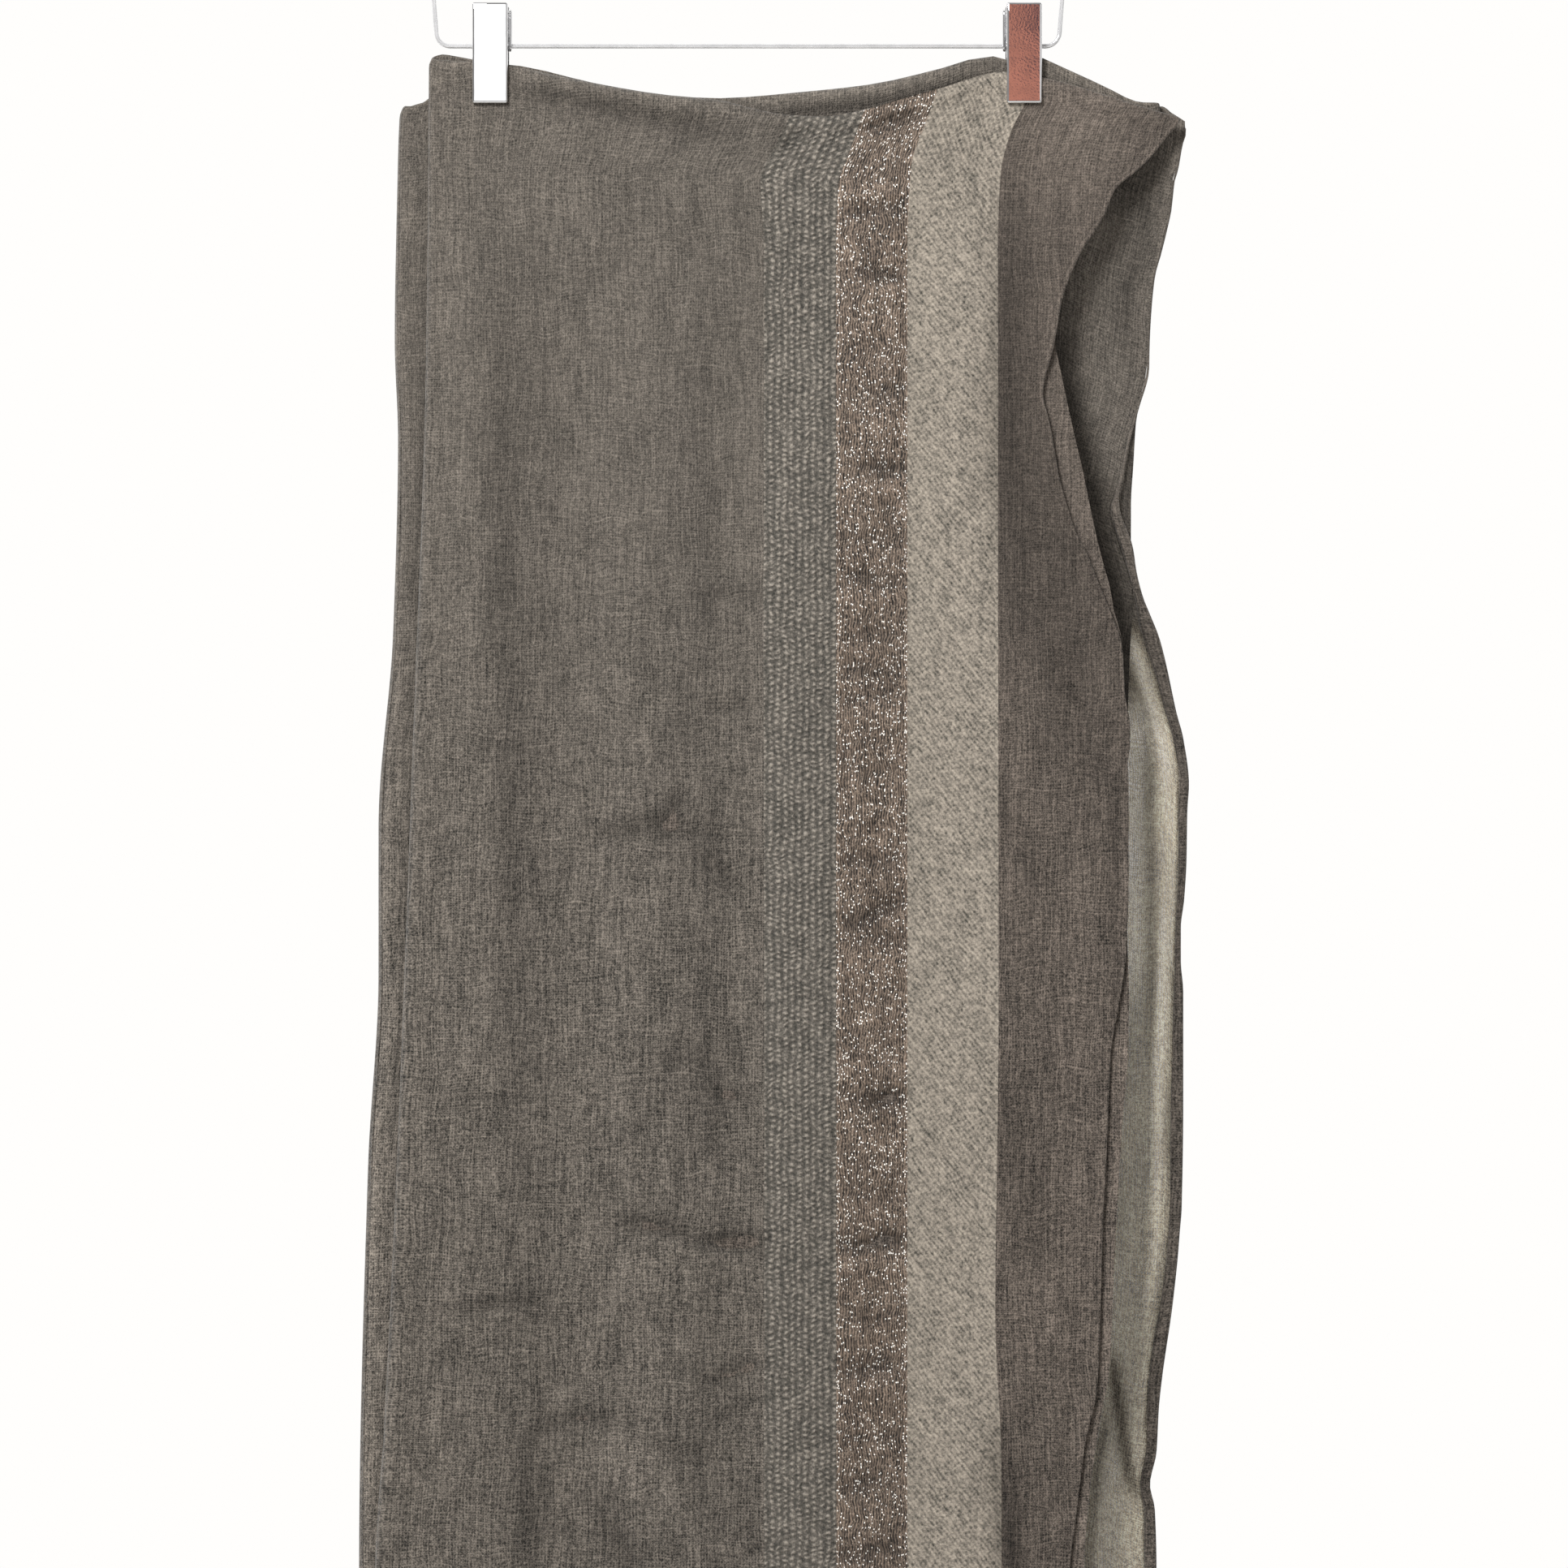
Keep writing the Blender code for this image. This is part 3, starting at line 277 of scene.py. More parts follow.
# Top lines: the front's crease, the roll behind it, and the steps of the two rear stretches
FRONT_CREASE = (
    Top(-0.1574, 0.0064), Top(-0.1266, 0.0084), Top(-0.0886, 0.0156), Top(-0.0486, 0.0229),
    Top(-0.0300, 0.0251), Top(-0.0140, 0.0266), Top(0.0020, 0.0306), Top(0.0180, 0.0336),
    Top(0.0370, 0.0346), Top(0.0554, 0.0317), Top(0.0794, 0.0250), Top(0.0930, 0.0212),
    Top(0.1274, 0.0124), Top(0.1446, 0.0152), Top(0.1994, 0.0312), Top(0.2136, 0.0352),
)
VALLEY = (
    Top(-0.1180, 0.0208), Top(-0.1142, 0.0216), Top(-0.0686, 0.0324), Top(-0.0278, 0.0400),
    Top(-0.0086, 0.0424), Top(0.0060, 0.0470),
)
TOP_RIDGE = (
    Top(-0.1580, 0.0070), Top(-0.1510, 0.0040), Top(-0.1414, 0.0054), Top(-0.1342, 0.0068),
    Top(-0.1267, 0.0082), Top(-0.1126, 0.0096), Top(-0.0742, 0.0184), Top(-0.0358, 0.0244),
    Top(-0.0166, 0.0256), Top(0.0318, 0.0220), Top(0.0602, 0.0188), Top(0.0986, 0.0100),
    Top(0.1178, 0.0048), Top(0.1260, 0.0054), Top(0.1359, 0.0086), Top(0.1450, 0.0058),
    Top(0.1562, 0.0104), Top(0.1754, 0.0196), Top(0.1946, 0.0276), Top(0.2036, 0.0278),
    Top(0.2105, 0.0334), Top(0.2162, 0.0374),
)
THIRD_STEP = (
    Top(-0.1740, 0.0270), Top(-0.1660, 0.0225), Top(-0.1570, 0.0200), Top(-0.1450, 0.0060),
    Top(-0.1200, 0.0030), Top(0.0000, 0.0085), Top(0.1200, 0.0035), Top(0.2000, 0.0004),
)
BACK_STEP = (
    Top(-0.1740, 0.0270), Top(-0.1660, 0.0225), Top(-0.1570, 0.0195), Top(-0.1450, 0.0040),
    Top(-0.1200, 0.0015), Top(0.0000, 0.0030), Top(0.1200, 0.0020), Top(0.1900, 0.0030),
    Top(0.2162, 0.0000),
)

# How far apart the stretches hang, how far the front's free edge lifts and the rear one falls back
LOOSE_PITCH = (
    Amount(0.0, 0.0042), Amount(0.10, 0.0056), Amount(0.30, 0.0088), Amount(0.75, 0.0108),
    Amount(1.005, 0.0120),
)
FRONT_LIFT = (
    Amount(0.04, 0.0), Amount(0.12, 0.0026), Amount(0.20, 0.0062), Amount(0.34, 0.0030),
    Amount(0.48, 0.0040), Amount(0.70, 0.0052), Amount(1.005, 0.0050),
)
REAR_FALL = (
    Amount(0.04, 0.0), Amount(0.10, 0.0020), Amount(0.22, 0.0046), Amount(0.36, 0.0050),
    Amount(0.52, 0.0080), Amount(0.75, 0.0060), Amount(1.005, 0.0100),
)
LIFT_FROM = 0.110
LIFT_FULL = 0.190
LIFT_SHARE_OF_SECOND = 0.4
FALL_SHARE_OF_THIRD = 0.1

# Soft upright folds: a ridge stands towards the front, a trough has a height below zero
FOLDS = (
    Fold(-0.1270, -0.020, 0.017, 0.0046, 0.030, 0.62),
    Fold(-0.0930, 0.012, 0.019, -0.0040, 0.080, 0.95),
    Fold(-0.0520, 0.020, 0.022, 0.0050, 0.100, 1.30),
    Fold(-0.0110, 0.010, 0.017, -0.0036, 0.060, 1.15),
    Fold(0.0300, 0.000, 0.024, 0.0030, 0.140, 1.30),
    Fold(0.0830, -0.006, 0.016, -0.0034, 0.050, 1.05),
    Fold(0.1250, -0.008, 0.020, 0.0048, 0.030, 1.10),
    Fold(0.1530, 0.010, 0.012, -0.0030, 0.200, 1.30),
)
FOLD_FADE = 0.10
FOLD_SHARE = (1.0, 0.75, 0.50, -0.45)

# Creases of the front leaf. An angle is in degrees, above level towards the right
FRONT_CREASES = (
    Crease(-0.0430, 0.583, 0.044, -12, 0.0030, -0.0020, 0.0),
    Crease(-0.0080, 0.590, 0.034, 4, 0.0028, -0.0026, 0.0),
    Crease(-0.0300, 0.595, 0.050, -6, 0.0060, 0.0012, 0.003),
    Crease(-0.0110, 0.517, 0.024, -8, 0.0028, -0.0013, 0.0),
    Crease(-0.0250, 0.500, 0.050, 3, 0.0070, -0.0007, 0.0),
    Crease(-0.0070, 0.654, 0.034, 20, 0.0026, -0.0013, 0.0),
    Crease(-0.0330, 0.692, 0.030, -10, 0.0040, -0.0009, 0.0),
    Crease(-0.0820, 0.683, 0.056, 8, 0.0028, -0.0011, 0.007),
    Crease(-0.1095, 0.724, 0.070, 92, 0.0060, -0.0007, 0.0),
    Crease(-0.0640, 0.735, 0.050, -60, 0.0044, -0.0011, 0.0),
    Crease(-0.0520, 0.703, 0.040, -50, 0.0050, 0.0010, 0.0),
    Crease(-0.0026, 0.720, 0.020, 35, 0.0016, -0.0009, 0.0),
    Crease(-0.0006, 0.731, 0.020, 35, 0.0016, -0.0009, 0.0),
    Crease(0.0012, 0.742, 0.020, 35, 0.0016, -0.0010, 0.0),
    Crease(-0.0060, 0.674, 0.026, 25, 0.0024, -0.0005, 0.0),
    Crease(-0.1240, 0.620, 0.048, 6, 0.0022, -0.0012, 0.0),
    Crease(-0.0370, 0.379, 0.024, 70, 0.0034, -0.0013, 0.0),
    Crease(-0.0480, 0.391, 0.062, 4, 0.0028, -0.0011, 0.007),
    Crease(-0.0140, 0.406, 0.026, -35, 0.0026, -0.0010, 0.0),
    Crease(-0.0080, 0.325, 0.026, 4, 0.0024, -0.0009, 0.0),
    Crease(-0.0110, 0.270, 0.032, 0, 0.0018, -0.0007, 0.0),
    Crease(-0.0200, 0.860, 0.060, 10, 0.0040, -0.0016, 0.004),
    Crease(-0.0900, 0.905, 0.050, -15, 0.0040, -0.0015, 0.0),
    Crease(0.1340, 0.390, 0.070, -62, 0.0060, -0.0006, 0.0),
    Crease(0.1420, 0.340, 0.120, -86, 0.0080, 0.0004, 0.0),
    Crease(0.1620, 0.330, 0.130, -80, 0.0080, -0.0008, 0.0),
    Crease(0.1380, 0.560, 0.110, -80, 0.0060, -0.0009, 0.0),
    Crease(0.1500, 0.620, 0.120, -86, 0.0070, 0.0005, 0.0),
    Crease(0.1290, 0.720, 0.090, -84, 0.0050, -0.0014, 0.0),
    Crease(0.1290, 0.130, 0.150, 89, 0.0070, -0.0010, 0.0),
    Crease(0.1330, 0.240, 0.140, -82, 0.0080, -0.0007, 0.0),
    Crease(0.0190, 0.048, 0.014, 55, 0.0022, -0.0012, 0.0),
    Crease(0.0700, 0.0375, 0.034, 14, 0.0022, -0.0014, 0.0),
)
PUCKERS = (
    Pucker(0.073, 0.9, 0.0026, 4), Pucker(0.081, -1.0, 0.0024, 2), Pucker(0.112, -1.2, 0.0030, -4),
    Pucker(0.122, 0.7, 0.0030, 0), Pucker(0.140, 0.5, 0.0028, 6), Pucker(0.170, -0.6, 0.0030, 3),
    Pucker(0.190, 0.6, 0.0034, 0), Pucker(0.209, -1.3, 0.0034, 7), Pucker(0.219, 0.8, 0.0030, 3),
    Pucker(0.243, -0.5, 0.0026, -4), Pucker(0.263, -0.8, 0.0030, 0), Pucker(0.272, 0.7, 0.0028, 0),
    Pucker(0.290, -0.6, 0.0026, 4), Pucker(0.308, -0.9, 0.0030, 0), Pucker(0.321, -0.7, 0.0026, 2),
    Pucker(0.333, 0.7, 0.0034, -3), Pucker(0.356, -0.5, 0.0030, 0), Pucker(0.380, 0.6, 0.0036, 5),
    Pucker(0.401, -0.8, 0.0026, 8), Pucker(0.428, -1.3, 0.0036, 18), Pucker(0.441, -0.7, 0.0026, 6),
    Pucker(0.453, 0.7, 0.0034, 0), Pucker(0.480, 0.5, 0.0034, -4), Pucker(0.507, 0.8, 0.0032, 0),
    Pucker(0.519, -1.5, 0.0032, -4), Pucker(0.541, 0.7, 0.0036, 0), Pucker(0.566, -0.5, 0.0030, 4),
    Pucker(0.590, -1.8, 0.0036, 2), Pucker(0.602, 0.8, 0.0034, 0), Pucker(0.626, -0.5, 0.0028, -4),
    Pucker(0.651, -1.2, 0.0040, 5), Pucker(0.664, 0.7, 0.0034, 0), Pucker(0.687, -0.5, 0.0026, 3),
    Pucker(0.709, -1.0, 0.0032, 3), Pucker(0.724, 0.6, 0.0030, 0), Pucker(0.742, -1.1, 0.0034, 4),
    Pucker(0.776, -1.0, 0.0034, -5), Pucker(0.812, -1.3, 0.0036, 3), Pucker(0.848, -0.8, 0.0030, 0),
    Pucker(0.886, -1.2, 0.0036, 5), Pucker(0.921, -0.9, 0.0030, -3), Pucker(0.955, -1.1, 0.0034, 2),
)
BACK_CREASES = (
    Crease(-0.0700, 0.330, 0.090, 78, 0.0060, -0.0018, 0.0),
    Crease(0.0300, 0.260, 0.120, 95, 0.0080, 0.0020, 0.0),
    Crease(0.0900, 0.480, 0.060, 12, 0.0034, -0.0012, 0.004),
    Crease(-0.0300, 0.560, 0.070, -9, 0.0034, -0.0014, 0.005),
    Crease(0.0600, 0.690, 0.060, 15, 0.0032, -0.0012, 0.0),
    Crease(-0.0900, 0.760, 0.060, -20, 0.0034, -0.0014, 0.004),
    Crease(0.1300, 0.600, 0.150, 86, 0.0070, -0.0022, 0.0),
    Crease(-0.0200, 0.850, 0.140, 92, 0.0080, 0.0020, 0.0),
    Crease(0.0200, 0.420, 0.050, 30, 0.0030, -0.0010, 0.0),
    Crease(-0.1200, 0.180, 0.100, 84, 0.0050, -0.0016, 0.0),
)
# Painted shade on the front leaf, for its shading and shadows: darker, or painted lighter for an
# amount below zero
FRONT_PAINTED_SHADE = (
    Tone(-0.1206, 0.230, 0.0095, 0.170, 3, 0.13),
    Tone(-0.1116, 0.580, 0.0110, 0.300, 2, 0.16),
    Tone(-0.1370, 0.300, 0.0090, 0.300, 3, -0.07),
    Tone(0.1300, 0.150, 0.0070, 0.080, 0, 0.12),
    Tone(0.1514, 0.221, 0.0280, 0.055, 0, 0.16),
    Tone(0.1690, 0.253, 0.0160, 0.040, 0, 0.14),
    Tone(0.1660, 0.305, 0.0200, 0.040, 0, 0.10),
    Tone(0.1634, 0.037, 0.0300, 0.030, 0, -0.32),
    Tone(0.1474, 0.137, 0.0060, 0.030, 0, -0.10),
    Tone(0.1470, 0.420, 0.0180, 0.140, 0, -0.11),
    Tone(0.1330, 0.600, 0.0180, 0.120, 0, -0.08),
    Tone(-0.0526, 0.745, 0.0220, 0.012, 0, 0.10),
    Tone(-0.0566, 0.701, 0.0120, 0.011, 0, -0.13),
    Tone(-0.0326, 0.701, 0.0160, 0.009, 10, 0.06),
    Tone(-0.0566, 0.566, 0.0200, 0.012, 0, 0.08),
    Tone(0.1806, 0.420, 0.0030, 0.075, 0, 0.26),
    Tone(0.1856, 0.420, 0.0016, 0.050, 0, -0.13),
    Tone(0.1694, 0.561, 0.0024, 0.045, -4, 0.12),
    Tone(-0.0286, 0.393, 0.0180, 0.010, 0, 0.07),
    Tone(0.1300, 0.745, 0.0060, 0.035, 0, 0.24),
    Tone(-0.0150, 0.272, 0.0200, 0.007, 0, 0.08),
    Tone(-0.0200, 0.530, 0.0220, 0.012, 0, 0.08),
)
# Painted shade and painted light for the cloth behind, seen beside the front's edge and left of the
# front
REAR_PAINTED_SHADE = (
    Tone(0.1885, 0.112, 0.0090, 0.052, -9, 0.37),
    Tone(0.2020, 0.072, 0.0070, 0.022, -20, 0.20),
    Tone(0.1640, 0.122, 0.0065, 0.040, -12, -0.42),
    Tone(0.1790, 0.090, 0.0065, 0.018, -40, -0.28),
    Tone(0.2024, 0.098, 0.0024, 0.048, -9, -0.32),
    Tone(0.2080, 0.052, 0.0070, 0.012, 0, -0.50),
    Tone(0.0450, 0.0222, 0.0500, 0.0042, 8, -0.30),
    Tone(0.0420, 0.0300, 0.0400, 0.0030, 6, 0.10),
    Tone(0.1760, 0.175, 0.0140, 0.045, 0, -0.26),
    Tone(0.1740, 0.0195, 0.034, 0.0065, -21, -0.28),
    Tone(-0.1830, 0.550, 0.0150, 0.480, 0, -0.44),
)
CREASE_GAIN = 1.9
PUCKER_GAIN = 1.8
SOFT_SPREAD = 2.6
SHADE_LIMITS = (-0.5, 0.75)

# Painted shade in a trough, and painted light on the ridge beside it: how dark and how light they
# get
SMALL_TROUGHS = Trough(0.0022, -0.25, 0.21)
SOFT_TROUGHS = Trough(0.0022, -0.2, 0.16)
PUCKER_TROUGHS = Trough(0.0015, -0.35, 0.26)

# Lines in the front's form and in its painted shade and painted light, each followed at an offset
# from its hem, its top crease, the valley under its roll or its lower edge
SEAM_GROOVE = Line(0.0018, 0.0005, -0.0003)
SEAM_RIDGE = Line(0.0008, 0.0008, 0.0003)
SEAM_SHADE = Line(0.0018, 0.0006, 0.16)
HEM_SHADE = Line(0.0064, 0.0012, 0.20)
HEM_LIGHT = Line(0.0005, 0.0008, -0.24)
VALLEY_DIP = Line(0.0, 0.0056, -0.0013)
VALLEY_SHADE = Line(0.0, 0.0056, 0.27)
CREST = Line(0.0045, 0.0035, 0.0013)
CREST_LIGHT = Line(0.0050, 0.0050, -0.15)
CREASE_SHADE = Line(0.0, 0.0012, 0.14)
FOOT_RIDGE = Line(0.003, 0.0025, 0.0005)
FRONT_ROLL = 0.0036
TOP_FADE = 0.012

# Painted shade of the cloth behind: a painted shadow in the recess at the right, and painted shade
# beside the front's left fold
RECESS = Window(0.120, 0.165, 0.320, 0.360)
RECESS_BAND = Window(-0.020, -0.010, 0.0052, 0.0082)
RECESS_PAINTED_SHADOW = 0.46
LEFT_FOLD_SHADE = Line(0.0, 0.0028, 0.20)

# The single leaf: where light passes it and its painted backlit colour shows, and what dims it there
SINGLE_STARTS = (0.279, 0.300)
ROLL_LIGHT = Line(-0.0062, 0.0056, 1.0)
STREAK_ACROSS = 0.1985
STREAK_LEAN = 0.010
STREAK = Line(0.0, 0.0042, -0.35)
STREAK_PART = Window(0.32, 0.36, 0.44, 0.52)
LOWER_FOLD_PART = Window(0.640, 0.655, 0.705, 0.725)
LOWER_FOLD_DIMS = Line(0.0, 0.0034, -0.42)
LOWER_FOLD_SHADE = Line(0.0, 0.0030, 0.12)
BESIDE_FRONT = Line(0.0030, 0.0034, 1.0)
BESIDE_FRONT_DIMS = 0.34
BESIDE_FRONT_SHADE = 0.14
TURNED_PART = Window(0.150, 0.170, 0.238, 0.250)
TURNED_SHADE = 0.45
REAR_ROLL = Window(-0.15, -0.12, 0.15, 0.19)
LIT_ROLL = Window(0.140, 0.160, 0.225, 0.245)
PUCKERED_PART = Window(-0.10, 0.20, 0.82, 1.05)


class Outline:
    """A smooth line through a short table: its first column goes in, its second comes out."""

    def __init__(self, rows):
        self.keys = np.array([row[0] for row in rows])
        self.values = np.array([row[1] for row in rows])
        rises = np.diff(self.values) / np.diff(self.keys)
        before, after = rises[:-1], rises[1:]
        same_way = before * after > 0
        total = np.where(same_way, before + after, 1.0)
        inner = np.where(same_way, 2 * before * after / total, 0.0)
        self.slopes = np.concatenate([rises[:1], inner, rises[-1:]])

    def __call__(self, at):
        at = np.clip(at, self.keys[0], self.keys[-1])
        i = np.clip(np.searchsorted(self.keys, at, side="right") - 1, 0, len(self.keys) - 2)
        length = self.keys[i + 1] - self.keys[i]
        t = (at - self.keys[i]) / length
        start = (1 + 2 * t) * (1 - t) ** 2
        rise = t * (1 - t) ** 2 * self.slopes[i] + t * t * (t - 1) * self.slopes[i + 1]
        return start * self.values[i] + (1 - start) * self.values[i + 1] + length * rise


def ramp(low, high, at):
    """Zero before low, one after high, smooth between."""
    t = np.clip((at - low) / (high - low), 0.0, 1.0)
    return t * t * (3 - 2 * t)


def bell(distance, half_width):
    return np.exp(-((distance / half_width) ** 2))


def within(window, at):
    """One inside a window, zero outside it, smooth between."""
    return ramp(window.start, window.full, at) * (1 - ramp(window.leave, window.end, at))


def line_adds(line, distance):
    """What a line adds at a distance from the edge that it follows."""
    return line.amount * bell(distance - line.offset, line.half_width)


left_fold = Outline(LEFT_FOLD)
second_left_fold = Outline(SECOND_LEFT_FOLD)
front_hem = Outline(FRONT_HEM)
second_leaf_edge = Outline(SECOND_LEAF_EDGE)
right_fold = Outline(RIGHT_FOLD)
back_inner_edge = Outline(BACK_INNER_EDGE)
back_hem = Outline(BACK_HEM)
lower_fold = Outline(LOWER_FOLD)
rolled_hem_inner = Outline(ROLLED_HEM_INNER)
rolled_hem_outer = Outline(ROLLED_HEM_OUTER)
basket_start = Outline(BASKET_START)
metallic_start = Outline(METALLIC_START)
light_start = Outline(LIGHT_START)
edge_strip_start = Outline(EDGE_STRIP_START)
front_crease = Outline(FRONT_CREASE)
top_ridge = Outline(TOP_RIDGE)
valley_line = Outline(VALLEY)
third_step = Outline(THIRD_STEP)
back_step = Outline(BACK_STEP)
loose_pitch = Outline(LOOSE_PITCH)
front_lift = Outline(FRONT_LIFT)
rear_fall = Outline(REAR_FALL)


def third_top(across):
    return top_ridge(across) + third_step(across)


def back_top(across):
    return top_ridge(across) + back_step(across)


def lower_edge(order):
    """The bottom edge of a stretch, which waves a little and differs from its neighbours."""
    def down(across):
        wave = 1 + np.sin(BOTTOM_WAVES_PER_METRE * across + BOTTOM_WAVE_SHIFT * order)
        return CLOTH_DROP - BOTTOM_STEP * (order % 2) - BOTTOM_WAVE * wave
    return down


def clip_hold(across, down):
    """One where a clip grips the cloth, fading to zero around and below it."""
    nearest = np.minimum(abs(across - LEFT_CLIP_MIDDLE), abs(across - RIGHT_CLIP_MIDDLE))
    beyond = np.maximum(nearest - CLIP_HOLD_HALF_WIDTH, 0.0)
    clips = bell(beyond, CLIP_HOLD_REACH) * (1 - ramp(CLIP_HOLD_DROP, CLIP_HOLD_END, down))
    corner = bell(across - CORNER_ACROSS, CORNER_WIDE) * bell(down - CORNER_DOWN, CORNER_TALL)
    return np.maximum(clips, CORNER_HOLD * corner)


def fold_height(across, down):
    """How far the soft upright folds stand towards the front at a point."""
    total = 0.0
    for fold in FOLDS:
        middle = fold.across + fold.lean * down
        ends = Window(fold.start, fold.start + FOLD_FADE, fold.finish - 2 * FOLD_FADE, fold.finish)
        total = total + fold.height * within(ends, down) * bell(across - middle, fold.half_width)
    return total


def depth(order, across, down):
    """How far back a stretch's middle lies, the front stretch being the most negative."""
    hold = clip_hold(across, down)
    pitch = PINCHED_PITCH + (loose_pitch(down) - PINCHED_PITCH) * (1 - hold)
    relief = FOLD_SHARE[order] * fold_height(across, down) * (1 - hold)
    edge = ramp(LIFT_FROM, LIFT_FULL, across) * (1 - hold)
    lift = front_lift(down)
    fall = rear_fall(down)
    parting = (-lift, -lift * LIFT_SHARE_OF_SECOND, fall * FALL_SHARE_OF_THIRD, fall)
    return (order - 1.5) * pitch - relief + parting[order] * edge


PANELS = (
    Panel(left_fold, front_hem, front_crease, lower_edge(0)),
    Panel(left_fold, right_fold, top_ridge, lower_edge(1)),
    Panel(second_left_fold, right_fold, third_top, lower_edge(2)),
    Panel(second_left_fold, back_hem, back_top, lower_edge(3)),
)


class Rows:
    """The levels of a sheet, close together at its top and at its bottom hem."""

    def __init__(self, count):
        top_steps = np.array(TOP_STEPS)
        foot = np.ones(len(BOTTOM_STEPS))
        before = np.zeros(len(top_steps) - 1)
        self.share = np.concatenate([before, np.linspace(0.0, 1.0, count), foot])
        self.from_top = np.concatenate([top_steps, np.full(count - 1, top_steps[-1]), 0 * foot])
        self.from_bottom = np.full(self.share.size, BOTTOM_HEM)
        self.from_bottom[-len(foot):] = np.array(BOTTOM_STEPS) * BOTTOM_HEM

    def down(self, top, bottom):
        room = bottom - top - self.from_top - self.from_bottom
        return top + self.from_top + self.share * room


def run(first, second, shares):
    """Upright lines between two others, as a function of how far down."""
    shares = np.asarray(shares, float)[:, None]
    return lambda down: first(down) * (1 - shares) + second(down) * shares


def stretch(order, place, count, rows):
    """Points of a stretch's middle, [column][row], where its columns meet its rows."""
    panel = PANELS[order]
    down = np.full((count, rows.share.size), CLOTH_DROP / 3)
    for _ in range(SETTLE_STEPS):
        across = place(down)
        down = rows.down(panel.top(across), panel.bottom(across))
    across = place(down)
    return np.stack((across, depth(order, across, down), -BAR_DROP - down), axis=-1)


def bend_middle(front, side, down):
    """Where the turn between a stretch and the one behind it has its centre, and its radius."""
    panel = PANELS[front]
    edge = panel.left(down) if side < 0 else panel.right(down)
    radius = (depth(front + 1, edge, down) - depth(front, edge, down)) / 2
    return edge - side * (radius + FOLD_ALLOWANCE), radius


def turn_line(front, side):
    return lambda down: bend_middle(front, side, down)[0]


def bend(front, side, turns, rows):
    """Points on the turn behind a stretch, from 0 at its front to 1 at its back."""
    ahead, behind = PANELS[front], PANELS[front + 1]
    turns = np.asarray(turns, float)[:, None]
    down = np.full((turns.size, rows.share.size), CLOTH_DROP / 3)
    for _ in range(SETTLE_STEPS):
        across = bend_middle(front, side, down)[0]
        top = ahead.top(across) * (1 - turns) + behind.top(across) * turns
        bottom = ahead.bottom(across) * (1 - turns) + behind.bottom(across) * turns
        down = rows.down(top, bottom)
    middle, radius = bend_middle(front, side, down)
    near, far = depth(front, middle, down), depth(front + 1, middle, down)
    out = middle + side * radius * np.sin(np.pi * turns)
    back = (near + far) / 2 - (far - near) / 2 * np.cos(np.pi * turns)
    return np.stack((out, back, -BAR_DROP - down), axis=-1)


def across_and_down(points):
    return points[..., 0], -BAR_DROP - points[..., 2]


def facing(points):
    """The outward direction at each point of a [column][row] grid."""
    cross = np.cross(np.gradient(points, axis=0), np.gradient(points, axis=1))
    return cross / np.linalg.norm(cross, axis=-1, keepdims=True)


def opening(rows):
    """How far the two leaves have parted below the top edge, from 0 to 1."""
    left = 1 - np.clip(rows.from_top / TOP_ROUNDING, 0, 1)
    near_top = np.where(rows.share > 0, 0.0, left)
    return np.sqrt(1 - near_top ** 2)


def roll_shape(rows):
    """A fat roll's swelling below the top edge, from 0 to 1 and back."""
    swelling = np.sin(np.pi * np.clip(rows.from_top / ROLL_HEIGHT, 0, 1) ** 0.6)
    return np.where(rows.share > 0, 0.0, swelling)


def over_top(values, back_rows, behind=None):
    """A leaf's values, led by those of so many rows behind the top, which are the same ones
    unless others are given."""
    behind = values if behind is None else behind
    return np.concatenate([behind[:, back_rows:0:-1], values], axis=1)


def both_leaves(points, front_offset, back_offset, back_rows):
    """The outer and the inner leaf beside a middle surface, joined over the top."""
    out = facing(points)
    front = points + out * front_offset[..., None]
    back = points - out * back_offset[..., None]
    return over_top(front, back_rows, back)


def crease_height(creases, across, down, spread=1.3):
    """How far a table's creases stand towards the viewer at a point, spread to soft widths."""
    total = 0.0
    for crease in creases:
        angle = math.radians(crease.angle)
        x = across - crease.across
        z = crease.down - down
        along = x * math.cos(angle) + z * math.sin(angle)
        beside = -x * math.sin(angle) + z * math.cos(angle)
        reach = along / (crease.length / 2)
        beside = beside - crease.bow * (1 - reach ** 2)
        window = np.exp(-np.abs(reach) ** 3)
        total = total + crease.height * window * bell(beside, crease.half_width * spread)
    return total


def pucker_height(across, down):
    """Puckers across the metallic band, held flat by the steadier bands beside it."""
    start, finish = metallic_start(down), light_start(down)
    share = (across - start) / (finish - start)
    window = within(PUCKERED_PART, share)
    total = 0.0
    for i, pucker in enumerate(PUCKERS):
        slope = math.tan(math.radians(pucker.tilt))
        wave = 0.0016 * np.sin(8 * share + 2.4 * i)
        beside = down - pucker.down + (share - 0.5) * BAND_WIDTHS["metallic"] * slope + wave
        middle = 0.58 + 0.24 * math.sin(12.9 * i)
        reach = 0.66 + 0.22 * math.sin(7.7 * i + 1.0)
        part = bell(share - middle, reach) * bell(beside, pucker.half_width * 1.2)
        total = total + pucker.height * 0.001 * PUCKER_GAIN * part
    return total * window


WAVES = (
    Wave(0.0060, 0.030, 0.7, 0.00022), Wave(0.0105, 0.075, 2.9, 0.00030),
    Wave(0.0190, 0.046, 4.4, 0.00034), Wave(0.0330, 0.021, 1.1, 0.00026),
    Wave(0.0470, 0.090, 5.2, 0.00040), Wave(0.0085, 0.150, 3.6, 0.00022),
)


def slack(across, down):
    """The small unevenness of hanging cloth, mostly upright."""
    total = 0.0
    for i, wave in enumerate(WAVES):
        bent = across / wave.wide + 0.9 * np.sin(down / wave.tall + wave.shift) + wave.shift
        upright = np.sin(2 * np.pi * bent / 1.9)
        total = total + wave.height * upright * np.sin(down / wave.tall * 1.7 + 2 * i)
    return total


